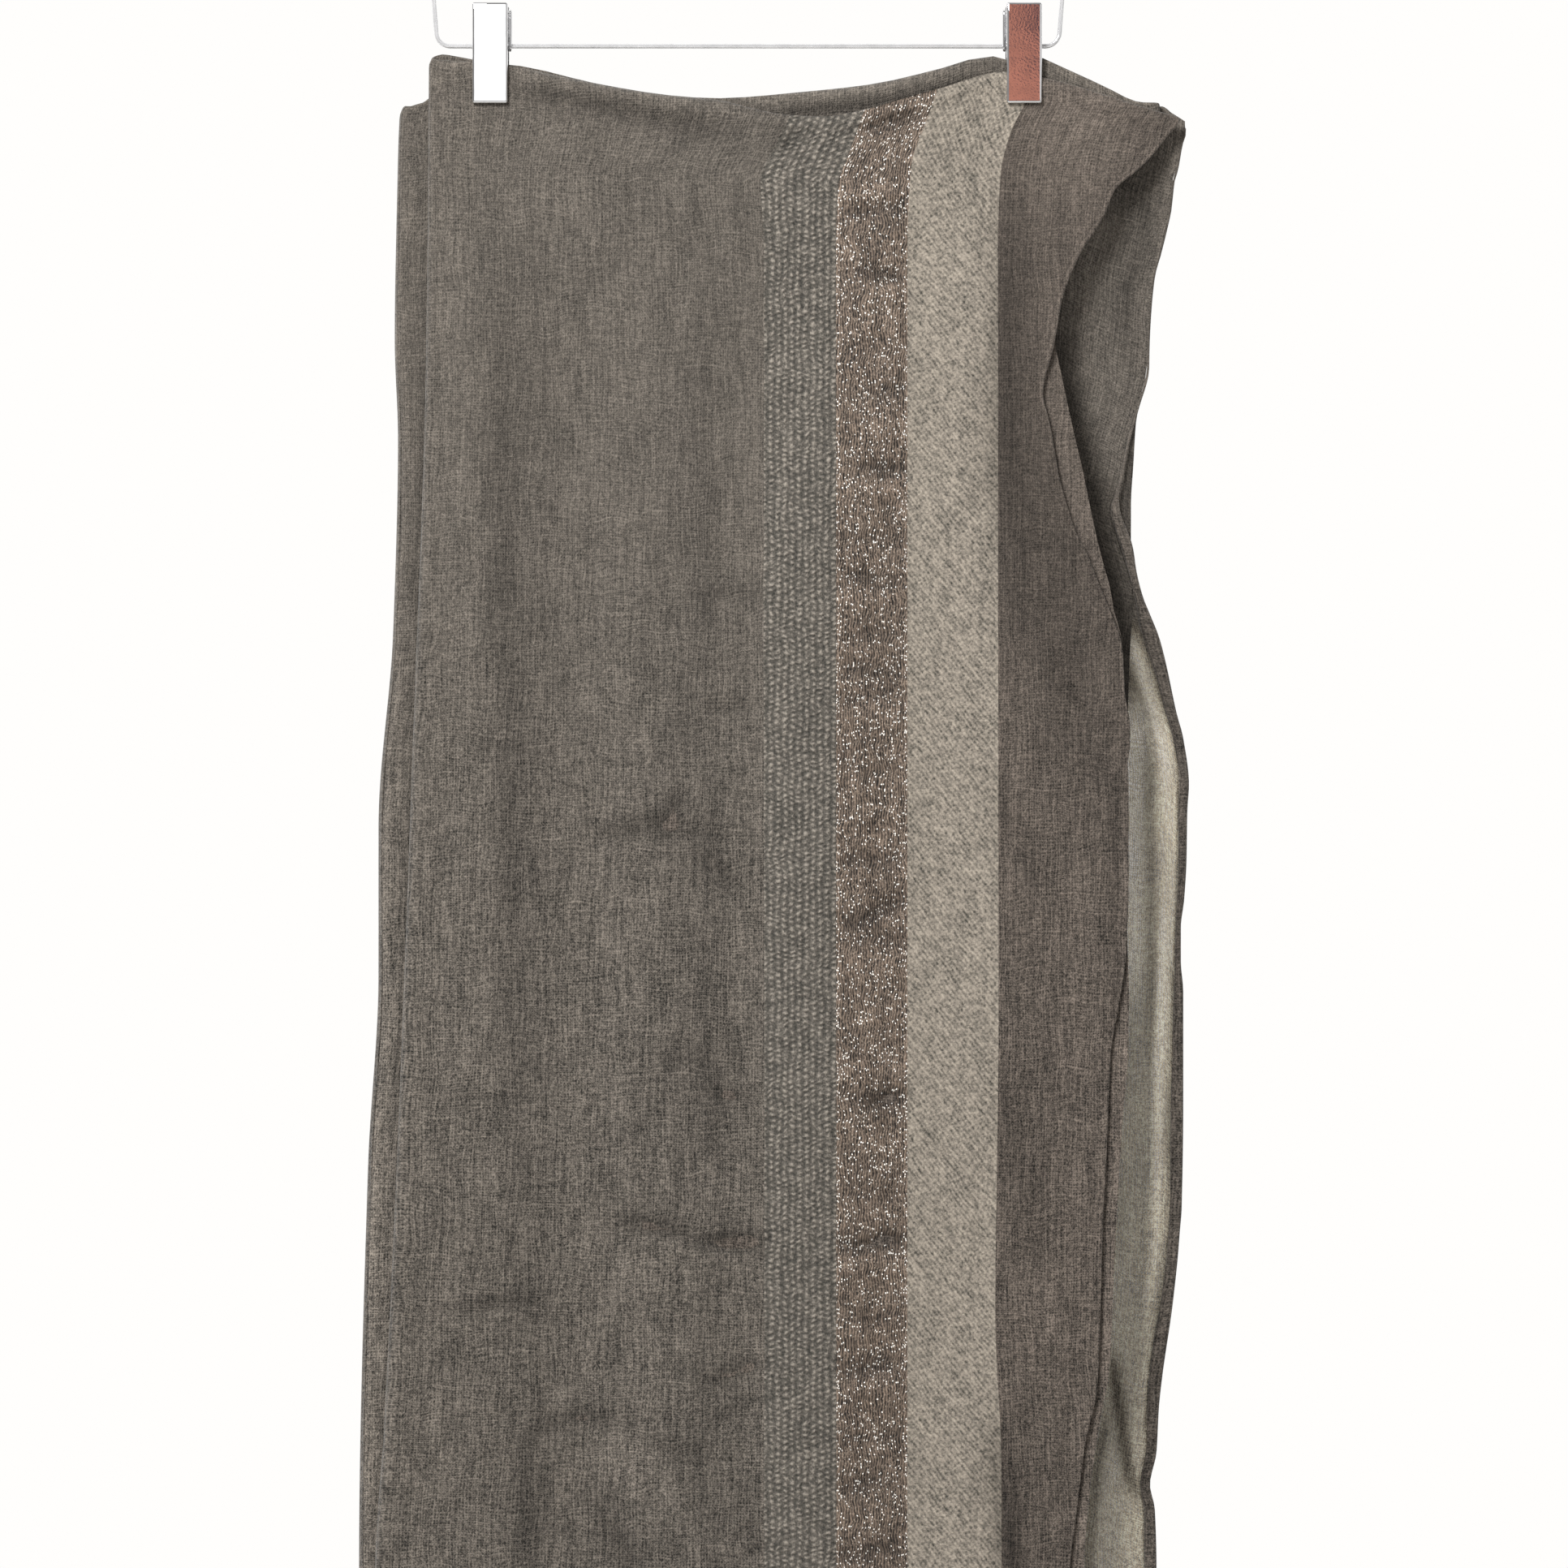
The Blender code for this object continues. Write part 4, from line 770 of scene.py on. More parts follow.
def painted_shade_patches(tones, across, down):
    """How much darker a table's soft patches of painted shade make a point."""
    total = 0.0
    for tone in tones:
        angle = math.radians(tone.angle)
        x = across - tone.across
        z = tone.down - down
        beside = x * math.cos(angle) + z * math.sin(angle)
        along = -x * math.sin(angle) + z * math.cos(angle)
        total = total + tone.amount * bell(beside, tone.wide) * bell(along, tone.tall)
    return total


def steps(first, last, count):
    return np.linspace(first, last, count, endpoint=False)


def inset(line, amount):
    return lambda down: line(down) - amount


def deselect():
    if bpy.context.object and bpy.context.object.mode != "OBJECT":
        bpy.ops.object.mode_set(mode="OBJECT")
    bpy.ops.object.select_all(action="DESELECT")


def make_active(piece):
    deselect()
    piece.select_set(True)
    bpy.context.view_layer.objects.active = piece


def apply_modifier(piece, kind, **settings):
    make_active(piece)
    modifier = piece.modifiers.new(kind.lower(), kind)
    for key, value in settings.items():
        setattr(modifier, key, value)
    bpy.ops.object.modifier_apply(modifier=modifier.name)


def seen_in_place(points):
    """The same points, spread about the view's middle so that their depth doesn't shift them."""
    spread = 1 + points[..., 1] / VIEW_DISTANCE
    moved = points.copy()
    moved[..., 0] = VIEW_ACROSS + (points[..., 0] - VIEW_ACROSS) * spread
    moved[..., 2] = VIEW_LEVEL + (points[..., 2] - VIEW_LEVEL) * spread
    return moved


def cloth_sheet(name, points, weave, thickness, materials, slots=None, extra=None):
    """A thin shell of cloth through a [column][row] grid of points.

    It starts as a flat grid, takes its points, its weave coordinates in metres and any extra
    values by name, and then its thickness on the inner side.
    """
    across, down = points.shape[:2]
    deselect()
    bpy.ops.mesh.primitive_grid_add(x_subdivisions=across - 1, y_subdivisions=down - 1, size=1.0)
    piece = bpy.context.object
    piece.name = name
    mesh = piece.data
    flat = np.zeros(len(mesh.vertices) * 3)
    mesh.vertices.foreach_get("co", flat)
    flat = flat.reshape(-1, 3)
    if len(flat) != across * down:
        raise RuntimeError(f"{name}: the grid has {len(flat)} points, not {across} x {down}")
    column = np.rint((flat[:, 0] + 0.5) * (across - 1)).astype(int)
    row = np.rint((flat[:, 1] + 0.5) * (down - 1)).astype(int)
    mesh.vertices.foreach_set("co", seen_in_place(points)[column, row].ravel())
    layer = mesh.uv_layers.active
    layer.name = "weave"
    corners = np.zeros(len(mesh.loops), int)
    mesh.loops.foreach_get("vertex_index", corners)
    layer.data.foreach_set("uv", weave[column[corners], row[corners]].ravel())
    for key, values in (extra or {}).items():
        attribute = mesh.attributes.new(key, "FLOAT", "POINT")
        attribute.data.foreach_set("value", values[column, row])
    for material in materials:
        mesh.materials.append(material)
    if slots is not None:
        firsts = np.array([min(column[i] for i in face.vertices) for face in mesh.polygons])
        mesh.polygons.foreach_set("material_index", slots[firsts])
    mesh.update()
    apply_modifier(piece, "SOLIDIFY", thickness=thickness, offset=-1.0)
    make_active(piece)
    bpy.ops.object.shade_smooth_by_angle(angle=math.radians(60))
    return piece


def place_piece(piece, slot, *nodes):
    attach(piece, "root")
    if nodes:
        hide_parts(*nodes)


class Wire:
    """One socket or number of a material, on which Python's operators add Math nodes."""

    def __init__(self, maker, socket):
        self.maker = maker
        self.socket = socket

    def __add__(self, other):
        return self.maker.math("ADD", self, other)

    __radd__ = __add__

    def __sub__(self, other):
        return self.maker.math("SUBTRACT", self, other)

    def __rsub__(self, other):
        return self.maker.math("SUBTRACT", other, self)

    def __mul__(self, other):
        return self.maker.math("MULTIPLY", self, other)

    __rmul__ = __mul__

    def __truediv__(self, other):
        return self.maker.math("DIVIDE", self, other)


class Maker:
    """Builds one procedural material."""

    def __init__(self, name, **constants):
        self.material = bpy.data.materials.new(name)
        self.material.use_nodes = True
        self.tree = self.material.node_tree
        self.shader = self.tree.nodes["Principled BSDF"]
        for key, value in constants.items():
            self.shader.inputs[key.replace("_", " ")].default_value = value

    def feed(self, socket, value):
        if isinstance(value, Wire):
            self.tree.links.new(value.socket, socket)
        else:
            socket.default_value = value

    def node(self, kind, settings=None, inputs=None, output=0):
        made = self.tree.nodes.new(kind)
        for key, value in (settings or {}).items():
            if key == "stops":
                self.set_stops(made.color_ramp, value)
            else:
                setattr(made, key, value)
        for key, value in (inputs or {}).items():
            self.feed(made.inputs[key], value)
        return Wire(self, made.outputs[output])

    def set_stops(self, ramp_of_node, stops):
        while len(ramp_of_node.elements) < len(stops):
            ramp_of_node.elements.new(0.5)
        for element, (position, colour) in zip(ramp_of_node.elements, stops):
            element.position = position
            element.color = colour

    def math(self, operation, *values):
        return self.node("ShaderNodeMath", {"operation": operation}, dict(enumerate(values)))

    def smooth(self, low, high, value):
        return self.node(
            "ShaderNodeMapRange",
            {"interpolation_type": "SMOOTHSTEP"},
            {"Value": value, "From Min": low, "From Max": high},
        )

    def mix(self, factor, first, second, blend="MIX"):
        made = self.tree.nodes.new("ShaderNodeMix")
        made.data_type = "RGBA"
        made.blend_type = blend
        self.feed(made.inputs["Factor"], factor)
        self.feed(made.inputs[6], first)
        self.feed(made.inputs[7], second)
        return Wire(self, made.outputs[2])

    def weave(self):
        """The two weave coordinates in metres: across the bands and along them."""
        made = self.tree.nodes.new("ShaderNodeUVMap")
        made.uv_map = "weave"
        parts = self.tree.nodes.new("ShaderNodeSeparateXYZ")
        self.tree.links.new(made.outputs[0], parts.inputs[0])
        return Wire(self, parts.outputs[0]), Wire(self, parts.outputs[1])

    def noise(self, across, along, seed, wide, tall, detail, rough=0.5):
        """Noise in streaks so wide and so tall, in metres."""
        vector = self.node(
            "ShaderNodeCombineXYZ", None, {"X": across / wide, "Y": along / tall, "Z": seed}
        )
        return self.node(
            "ShaderNodeTexNoise", {"noise_dimensions": "3D"},
            {"Vector": vector, "Scale": 1.0, "Detail": detail, "Roughness": rough},
        )

    def swayed(self, at, u, v, sway):
        """A coordinate that wanders, so that the yarns along it aren't straight."""
        field = self.noise(u, v, sway.seed, sway.wide, sway.tall, sway.detail)
        return at + (field - 0.5) * sway.reach

    def layers(self, table, places):
        """A table's noise layers by name, and what they add to the tone and to the height."""
        made = {}
        tone, height = 0.0, 0.0
        for row in table:
            field = self.noise(places[row.across], places[row.along], row.seed, row.wide, row.tall,
                               row.detail, row.rough)
            layer = self.smooth(0.5 - row.spread, 0.5 + row.spread, field)
            made[row.name] = layer
            if row.tone:
                tone = (layer - 0.5) * row.tone + tone
            if row.height:
                height = layer * row.height + height
        return made, tone, height

    def clamp(self, value):
        return self.math("MINIMUM", self.math("MAXIMUM", value, 0.0), 1.0)

    def bell(self, at, middle, half_width):
        """One at a line, fading to zero beside it."""
        apart = self.math("ABSOLUTE", at - middle)
        return 1.0 - self.smooth(half_width * 0.3, half_width, apart)

    def glints(self, across, along, wide, tall, chance, bonus):
        """Painted glints: small bright spots, one in some of the cells of a net."""
        where = self.node(
            "ShaderNodeCombineXYZ", None, {"X": across / wide, "Y": along / tall, "Z": 0.0}
        )
        cells = self.tree.nodes.new("ShaderNodeTexVoronoi")
        cells.voronoi_dimensions = "2D"
        self.feed(cells.inputs["Vector"], where)
        cells.inputs["Scale"].default_value = 1.0
        spot = 1.0 - self.smooth(0.20, 0.46, Wire(self, cells.outputs["Distance"]))
        dice = self.node("ShaderNodeSeparateColor", None, {0: Wire(self, cells.outputs["Color"])})
        return spot * self.math("GREATER_THAN", dice + bonus, chance)

    def cosine(self, at, pitch, shift=0.0):
        """A wave from 0 to 1 and back in each pitch."""
        turned = at * (2 * math.pi / pitch) + shift
        return self.math("COSINE", turned) * 0.5 + 0.5

    def bump(self, height, strength, distance):
        normal = self.node(
            "ShaderNodeBump", None, {"Strength": strength, "Distance": distance, "Height": height}
        )
        self.feed(self.shader.inputs["Normal"], normal)

    def colour(self, value):
        self.feed(self.shader.inputs["Base Color"], value)

    def shaded_colour(self, value):
        """A colour made darker by the piece's painted shade attribute, which is 0 where it has none.
        """
        shade = self.node("ShaderNodeAttribute", {"attribute_name": "shade"}, output=2)
        self.colour(self.node(
            "ShaderNodeVectorMath", {"operation": "SCALE"}, {0: value, "Scale": 1.0 - shade}
        ))


def srgb(colour):
    """An 8-bit display colour as the linear one that a shader takes."""
    def linear(value):
        share = value / 255
        return share / 12.92 if share <= 0.04045 else ((share + 0.055) / 1.055) ** 2.4
    return tuple(linear(value) for value in colour) + (1.0,)


def heathered(maker, colour, tone, dark=0.16, light=2.3):
    """A wool colour that is cooler in its dark flecks and warmer in its light ones."""
    base = srgb(colour)
    low_end = tuple(v * dark * c for v, c in zip(base, (0.92, 1.0, 1.02))) + (1.0,)
    high_end = tuple(min(v * light * c, 1.0) for v, c in zip(base, (1.0, 0.99, 0.98))) + (1.0,)
    low = maker.mix(maker.clamp(tone), low_end, base)
    return maker.mix(maker.clamp(tone - 1.0), low, high_end)


WARP_SWAY = Sway(1.7, 0.018, 0.030, 1.0, 0.0050)
WEFT_SWAY = Sway(5.3, 0.024, 0.014, 1.0, 0.0090)
GAUZE_LAYERS = (
    Layer("upright", "warp", "v", 2.1, 0.0013, 0.030, 0.16, 3.0, 0.60, 0.44, 0.4),
    Layer("level", "u", "weft", 8.4, 0.012, 0.0009, 0.16, 3.0, 0.60, 0.22, 0.3),
    Layer("patches", "u", "v", 4.2, 0.016, 0.030, 0.14, 2.0, 0.50, 0.10, 0.0),
    Layer("blotches", "u", "v", 7.4, 0.0070, 0.0090, 0.16, 2.0, 0.50, 0.10, 0.0),
    Layer("heather", "u", "v", 9.6, 0.0012, 0.0017, 0.18, 2.0, 0.65, 0.56, 0.5),
    Layer("fibres", "u", "v", 3.3, 0.0006, 0.0009, 0.20, 2.0, 0.70, 0.80, 0.3),
)


def gauze_material(name, colour, settings, open_weave=False):
    """Plain gauze of uneven wool yarns, which shows light through where the leaf is single and there
    takes a painted backlit colour.
    """
    maker = Maker(
        name, Roughness=0.92, Sheen_Weight=settings.nap, Sheen_Roughness=0.45,
        Specular_IOR_Level=0.15,
    )
    u, v = maker.weave()
    warp_at = maker.swayed(u, u, v, WARP_SWAY)
    weft_at = maker.swayed(v, u, v, WEFT_SWAY)
    warp = maker.cosine(warp_at, settings.gauze_pitch)
    weft = maker.cosine(weft_at, settings.gauze_pitch)
    thread = maker.math("MAXIMUM", warp, weft)
    places = {"u": u, "v": v, "warp": warp_at, "weft": weft_at}
    made, tone, height = maker.layers(GAUZE_LAYERS, places)
    slub = maker.smooth(0.62, 0.72, maker.noise(u, weft_at, 6.1, 0.024, 0.0010, 1.0))
    tone = tone + slub * 0.26 + (thread - 0.75) * 0.50
    tone = tone * (maker.smooth(0.15, 0.50, v) * 0.42 + 0.86) + 0.98
    cloth = heathered(maker, colour, tone)
    maker.bump(height + thread * 0.5, 0.6, 0.0007)
    if open_weave:
        single = maker.node("ShaderNodeAttribute", {"attribute_name": "see_through"}, output=2)
        # Painted light: where the leaf is single, its colour goes over to a pale one that stands for
        # light shining through it from behind
        lit = heathered(maker, settings.lit_colour, tone + (thread - 0.75) * 0.5)
        cloth = maker.mix(maker.clamp(single * 1.3), cloth, lit)
        gap = (1.0 - warp) * (1.0 - weft * 0.8) + (made["heather"] - 0.5) * 0.24
        gap = gap - (made["upright"] - 0.5) * 0.30 - (made["level"] - 0.5) * 0.20
        hole = maker.clamp(gap * 0.40 + 0.37)
        maker.feed(maker.shader.inputs["Alpha"], 1.0 - hole * single)
    maker.shaded_colour(cloth)
    return maker.material


COLUMN_SWAY = Sway(1.2, 0.012, 0.014, 1.5, 0.0042)
BEAD_SWAY = Sway(2.8, 0.008, 0.012, 1.5, 0.0060)
BASKET_LAYERS = (
    Layer("fibres", "u", "v", 3.1, 0.0008, 0.0010, 0.20, 2.0, 0.70, 0.80, 0.2),
    Layer("heather", "u", "v", 4.4, 0.0026, 0.0022, 0.18, 2.0, 0.60, 0.66, 0.3),
    Layer("patches", "u", "v", 5.2, 0.010, 0.018, 0.14, 2.0, 0.50, 0.12, 0.0),
    Layer("uneven", "u", "v", 6.8, 0.0050, 0.0060, 0.25, 1.0, 0.50, 0.0, 0.0),
)


def basket_material(settings):
    """Chunky basket weave: upright rows of beads, each row set against its neighbours."""
    maker = Maker("basket_weave", Roughness=0.9, Sheen_Weight=settings.nap, Sheen_Roughness=0.4,
                  Specular_IOR_Level=0.15)
    u, v = maker.weave()
    pitch = settings.basket_pitch
    column_at = maker.swayed(u, u, v, COLUMN_SWAY)
    upright = maker.cosine(column_at, pitch)
    side = maker.smooth(0.30, 0.70, maker.cosine(column_at, pitch * 2))
    first = maker.cosine(maker.swayed(v, u, v, BEAD_SWAY), settings.bead_pitch)
    bead = first * side + (1.0 - first) * (1.0 - side)
    made, tone, height = maker.layers(BASKET_LAYERS, {"u": u, "v": v})
    relief = (0.16 + upright * 0.84) * (0.20 + bead * (0.50 + made["uneven"] * 0.5))
    tone = tone + (relief - 0.31) * 1.35 + 0.96
    maker.shaded_colour(heathered(maker, settings.basket_colour, tone, 0.32, 2.7))
    maker.bump(height + relief, 0.8, 0.0013)
    return maker.material


METALLIC_LEFT = 0.0360
METALLIC_RIGHT = 0.0694
METALLIC_SWAY = Sway(1.9, 0.014, 0.009, 1.5, 0.0046)
METALLIC_LAYERS = (
    Layer("fibres", "yarn", "v", 3.9, 0.0008, 0.0020, 0.20, 2.0, 0.70, 0.85, 0.4),
    Layer("heather", "yarn", "v", 8.1, 0.0018, 0.0034, 0.16, 2.0, 0.60, 0.65, 0.4),
    Layer("streaks", "yarn", "v", 6.6, 0.0016, 0.018, 0.16, 3.0, 0.60, 0.50, 0.0),
    Layer("patches", "u", "v", 9.2, 0.014, 0.022, 0.14, 2.0, 0.50, 0.16, 0.0),
)
# Colours of the painted glints: dim copper ones, bright pale ones, and the glow of the bright ones
COPPER_GLINT_COLOUR = (0.62, 0.50, 0.40, 1.0)
GLINT_COLOUR = (0.93, 0.90, 0.84, 1.0)
GLOW_COLOUR = (1.0, 0.96, 0.88, 1.0)
NO_GLOW = (0.0, 0.0, 0.0, 1.0)


def metallic_material(settings):
    """Fine upright yarns with metal thread, wavy between the puckers, with painted glints that also
    glow.
    """
    maker = Maker("metallic_weave", Roughness=0.6, Specular_IOR_Level=0.4, Emission_Strength=0.45)
    u, v = maker.weave()
    yarn_at = maker.swayed(u, u, v, METALLIC_SWAY)
    yarn = maker.cosine(yarn_at, settings.metallic_pitch)
    made, tone, height = maker.layers(METALLIC_LAYERS, {"u": u, "v": v, "yarn": yarn_at})
    patches = made["patches"]
    margin = maker.bell(u, METALLIC_LEFT, 0.0013) + maker.bell(u, METALLIC_RIGHT, 0.0011) * 0.7
    # Painted highlights of the metal thread: bright glints and dimmer copper ones
    glint = maker.glints(yarn_at, v, 0.00072, 0.00115, 0.930, patches * 0.06 + margin * 0.15)
    copper_glint = maker.glints(yarn_at + 0.00031, v + 0.0007, 0.00070, 0.00120, 0.76, patches * 0.12)
    tone = tone + (yarn - 0.5) * 1.10 + margin * 0.25 + 0.88
    cloth = heathered(maker, settings.metallic_colour, tone, 0.10, 2.3)
    cloth = maker.mix(copper_glint * 0.42, cloth, COPPER_GLINT_COLOUR)
    maker.shaded_colour(maker.mix(glint, cloth, GLINT_COLOUR))
    maker.feed(maker.shader.inputs["Metallic"], yarn * 0.12)
    maker.feed(maker.shader.inputs["Roughness"], 0.66 - glint * 0.3)
    # The bright painted glints also glow through the emission colour, at the strength set above
    maker.feed(maker.shader.inputs["Emission Color"], maker.mix(glint, NO_GLOW, GLOW_COLOUR))
    maker.bump(height + yarn * 0.6, 0.7, 0.0007)
    return maker.material


LIGHT_RIGHT = 0.1144
TWILL_SWAY = Sway(1.4, 0.014, 0.014, 1.5, 0.0030)
CROSS_SWAY = TWILL_SWAY._replace(reach=0.0024)
LIGHT_LAYERS = (
    Layer("fibres", "u", "v", 3.6, 0.0008, 0.0009, 0.20, 2.0, 0.70, 0.75, 0.3),
    Layer("heather", "u", "v", 6.3, 0.0023, 0.0021, 0.17, 2.0, 0.65, 0.78, 0.5),
    Layer("streaks", "slant", "v", 5.9, 0.0022, 0.010, 0.16, 3.0, 0.60, 0.36, 0.0),
    Layer("upright", "u", "v", 7.1, 0.0020, 0.040, 0.16, 3.0, 0.60, 0.18, 0.0),
    Layer("patches", "u", "v", 2.6, 0.012, 0.020, 0.14, 2.0, 0.50, 0.08, 0.0),
)


def light_material(settings):
    """Pale twill, its lines running down to the right."""
    maker = Maker("light_twill", Roughness=0.9, Sheen_Weight=settings.nap * 0.6,
                  Sheen_Roughness=0.4, Specular_IOR_Level=0.15)
    u, v = maker.weave()
    slant = maker.swayed(u * 0.80 - v * 0.60, u, v, TWILL_SWAY)
    cross_at = maker.swayed(u * 0.62 + v * 0.78, u, v, CROSS_SWAY)
    line = maker.cosine(slant, settings.twill_pitch)
    cross = maker.cosine(cross_at, settings.twill_pitch * 0.9)
    _, tone, height = maker.layers(LIGHT_LAYERS, {"u": u, "v": v, "slant": slant})
    edge = maker.bell(u, LIGHT_RIGHT, 0.0011)
    tone = tone + (line - 0.5) * 0.46 + (cross - 0.5) * 0.10 + edge * 0.14 + 1.0
    maker.shaded_colour(heathered(maker, settings.light_colour, tone, 0.24, 1.8))
    maker.bump(height + line * 0.5 + cross * 0.2, 0.6, 0.0007)
    return maker.material


CHROME_PALE = (0.86, 0.86, 0.87, 1)
CHROME_WORN = (0.74, 0.74, 0.75, 1)


def chrome_material(name, roughness, mirror=1.0):
    """Chrome; a mirror share below one makes it paler, as thin bright wire looks."""
    maker = Maker(name, Metallic=mirror, Roughness=roughness)
    place = maker.node("ShaderNodeTexCoord", None, None, output=3)
    wear = maker.node("ShaderNodeTexNoise", None, {"Vector": place, "Scale": 140.0, "Detail": 3.0})
    fine = maker.node("ShaderNodeTexNoise", None, {"Vector": place, "Scale": 900.0, "Detail": 2.0})
    maker.colour(maker.mix(maker.smooth(0.35, 0.75, wear), CHROME_PALE, CHROME_WORN))
    maker.feed(maker.shader.inputs["Roughness"], (wear - 0.5) * 0.10 + roughness)
    maker.bump(fine, 0.04, 0.0002)
    return maker.material


class ShawlClothSettings(bpy.types.PropertyGroup):
    """Sizes and colours of the cloth."""

    leaf: FloatProperty(
        name="Leaf thickness", description="How thick one layer of the cloth is",
        default=0.0006, min=0.0002, max=0.003, unit="LENGTH",
    )
    fold_strength: FloatProperty(
        name="Crease strength", description="How strong the small creases are",
        default=1.0, min=0.0, max=2.0, subtype="FACTOR",
    )
    nap: FloatProperty(
        name="Nap", description="Soft sheen of the wool's fibres",
        default=0.20, min=0.0, max=1.0, subtype="FACTOR",
    )
    gauze_pitch: FloatProperty(
        name="Gauze pitch", description="Distance between the gauze's yarns",
        default=0.00132, unit="LENGTH",
    )
    basket_pitch: FloatProperty(
        name="Basket pitch", description="Distance between the basket weave's rows",
        default=0.00344, unit="LENGTH",
    )
    metallic_pitch: FloatProperty(
        name="Metallic pitch", description="Distance between the metal yarns",
        default=0.00135, unit="LENGTH",
    )
    bead_pitch: FloatProperty(
        name="Bead pitch", description="Height of one bead of the basket weave",
        default=0.0029, unit="LENGTH",
    )
    twill_pitch: FloatProperty(
        name="Twill pitch", description="Distance between the pale band's lines",
        default=0.00200, unit="LENGTH",
    )
    gauze_colour: FloatVectorProperty(
        name="Gauze", description="Colour of the plain gauze, 8-bit",
        default=(99, 93, 86), min=0, max=255,
    )
    rear_colour: FloatVectorProperty(
        name="Rear gauze", description="Colour of the gauze behind, 8-bit",
        default=(98, 92, 85), min=0, max=255,
    )
    # Painted light: the colour that the single gauze takes for the light behind it
    lit_colour: FloatVectorProperty(
        name="Single gauze", description="Colour of the gauze with light behind it, 8-bit",
        default=(208, 190, 160), min=0, max=255,
    )
    edge_colour: FloatVectorProperty(
        name="Edge strip", description="Colour of the strip beside the hem, 8-bit",
        default=(94, 86, 79), min=0, max=255,
    )
    basket_colour: FloatVectorProperty(
        name="Basket band", description="Colour of the basket weave, 8-bit",
        default=(104, 99, 92), min=0, max=255,
    )
    metallic_colour: FloatVectorProperty(
        name="Metallic band", description="Colour of the metal yarn band, 8-bit",
        default=(103, 90, 79), min=0, max=255,
    )
    light_colour: FloatVectorProperty(
        name="Light band", description="Colour of the pale twill, 8-bit",
        default=(141, 133, 122), min=0, max=255,
    )


class ShawlHangerSettings(bpy.types.PropertyGroup):
    """Sizes of the hanger."""

    wire_radius: FloatProperty(
        name="Wire radius", description="Radius of the bar's wire",
        default=0.00115, unit="LENGTH",
    )
    hook_wire_radius: FloatProperty(
        name="Hook wire radius", description="Radius of the hook's wire",
        default=0.0015, unit="LENGTH",
    )
    collar_radius: FloatProperty(
        name="Collar radius", description="Radius of the collar under the hook",
        default=0.0042, unit="LENGTH",
    )
    clip_face: FloatProperty(
        name="Clip width", description="Width of a clip over its rims",
        default=0.0174, unit="LENGTH",
    )
    clip_rim: FloatProperty(
        name="Clip rim", description="How far a clip's rims fold back",
        default=0.0026, unit="LENGTH",
    )
    tube_sides: IntProperty(
        name="Tube sides", description="Sides of a wire's round section", default=16, min=8, max=64,
    )


class ShawlStageSettings(bpy.types.PropertyGroup):
    """Camera, lights and surroundings."""

    camera_distance: FloatProperty(
        name="Camera distance", description="From the cloth's front to the camera",
        default=VIEW_DISTANCE, unit="LENGTH",
    )
    frame_width: FloatProperty(
        name="Frame width", description="Width that the camera sees at the cloth",
        default=0.7728, unit="LENGTH",
    )
    camera_across: FloatProperty(
        name="Camera across", description="Camera's place along the bar",
        default=VIEW_ACROSS, unit="LENGTH",
    )
    camera_height: FloatProperty(
        name="Camera height", description="Camera's place above or below the hook's top",
        default=VIEW_LEVEL, unit="LENGTH",
    )
    key_power: FloatProperty(name="Key light", description="Power in watts", default=65.0)
    fill_power: FloatProperty(name="Fill light", description="Power in watts", default=4.0)
    floor_height: FloatProperty(
        name="Floor height", description="Height of the floor below the hook's top",
        default=-1.75, unit="LENGTH",
    )


def weave_grid(u, v):
    return np.stack(np.broadcast_arrays(u, v), axis=-1)


FIELD_SLOT, BASKET_SLOT, METALLIC_SLOT, LIGHT_SLOT, STRIP_SLOT = range(5)
FRONT_BANDS = (
    Band("light", light_start, edge_strip_start, 9, LIGHT_SLOT),
    Band("metallic", metallic_start, light_start, 18, METALLIC_SLOT),
    Band("basket", basket_start, metallic_start, 12, BASKET_SLOT),
)
HEM_COLUMNS = (0.0, 0.0005, 0.0012, 0.0020, 0.0027, 0.0031, 0.0034, 0.0037, 0.0042, 0.0052, 0.0068)
TURNED_COLUMNS = (3, 6, 8)
TURN_ANGLES = (30, 60, 90, 120, 150, 180)
EDGE_COLUMNS = 20
FIELD_COLUMNS = 46
BEND_COLUMNS = 9
NEAR_FOLD = (0.0, 0.008, 0.016, 0.026, 0.040, 0.058, 0.085)
NEAR_INNER_EDGE = (0.0, 0.0006, 0.0014, 0.003, 0.005, 0.008, 0.012)
FRONT_ROWS = 322
INNER_ROWS = 150
INNER_ROWS_CUT = 4
REAR_ROWS = 112
BACK_ROWS = 190
HEM_ROWS = 260
FRONT_BACK_ROWS = 7
BACK_BACK_ROWS = 4


def front_columns():
    """The front leaf's columns: their points' places, their weave coordinate and material."""
    inner = inset(front_hem, HEM_COLUMNS[-1])
    offsets = np.array(HEM_COLUMNS)[:, None]
    shares = np.linspace(0, 1, EDGE_COLUMNS + 1)[1:-1]
    groups = [
        Group(lambda down: front_hem(down) - offsets, len(HEM_COLUMNS), None, STRIP_SLOT),
        Group(run(inner, edge_strip_start, shares), len(shares), None, STRIP_SLOT),
    ]
    u = STRIP_START_U
    for band in FRONT_BANDS:
        shares = steps(0, 1, band.columns)
        width = BAND_WIDTHS[band.name]
        place = run(band.finish, band.start, shares)
        groups.append(Group(place, band.columns, u - shares * width, band.slot))
        u -= width
    shares = np.linspace(0, 1, FIELD_COLUMNS)
    place = run(basket_start, turn_line(0, -1), shares)
    groups.append(Group(place, FIELD_COLUMNS, -shares * FIELD_WIDTH, FIELD_SLOT))
    return groups


def off_left_fold(across, down):
    """Zero on the left fold, one beside it."""
    return ramp(0.002, 0.014, across - left_fold(down))


def front_creases(across, down):
    """The front's creases and puckers, held flat near the clips and at the left fold."""
    creases = crease_height(FRONT_CREASES, across, down) * CREASE_GAIN
    loose = 1 - clip_hold(across, down)
    return (creases + pucker_height(across, down)) * loose * off_left_fold(across, down)


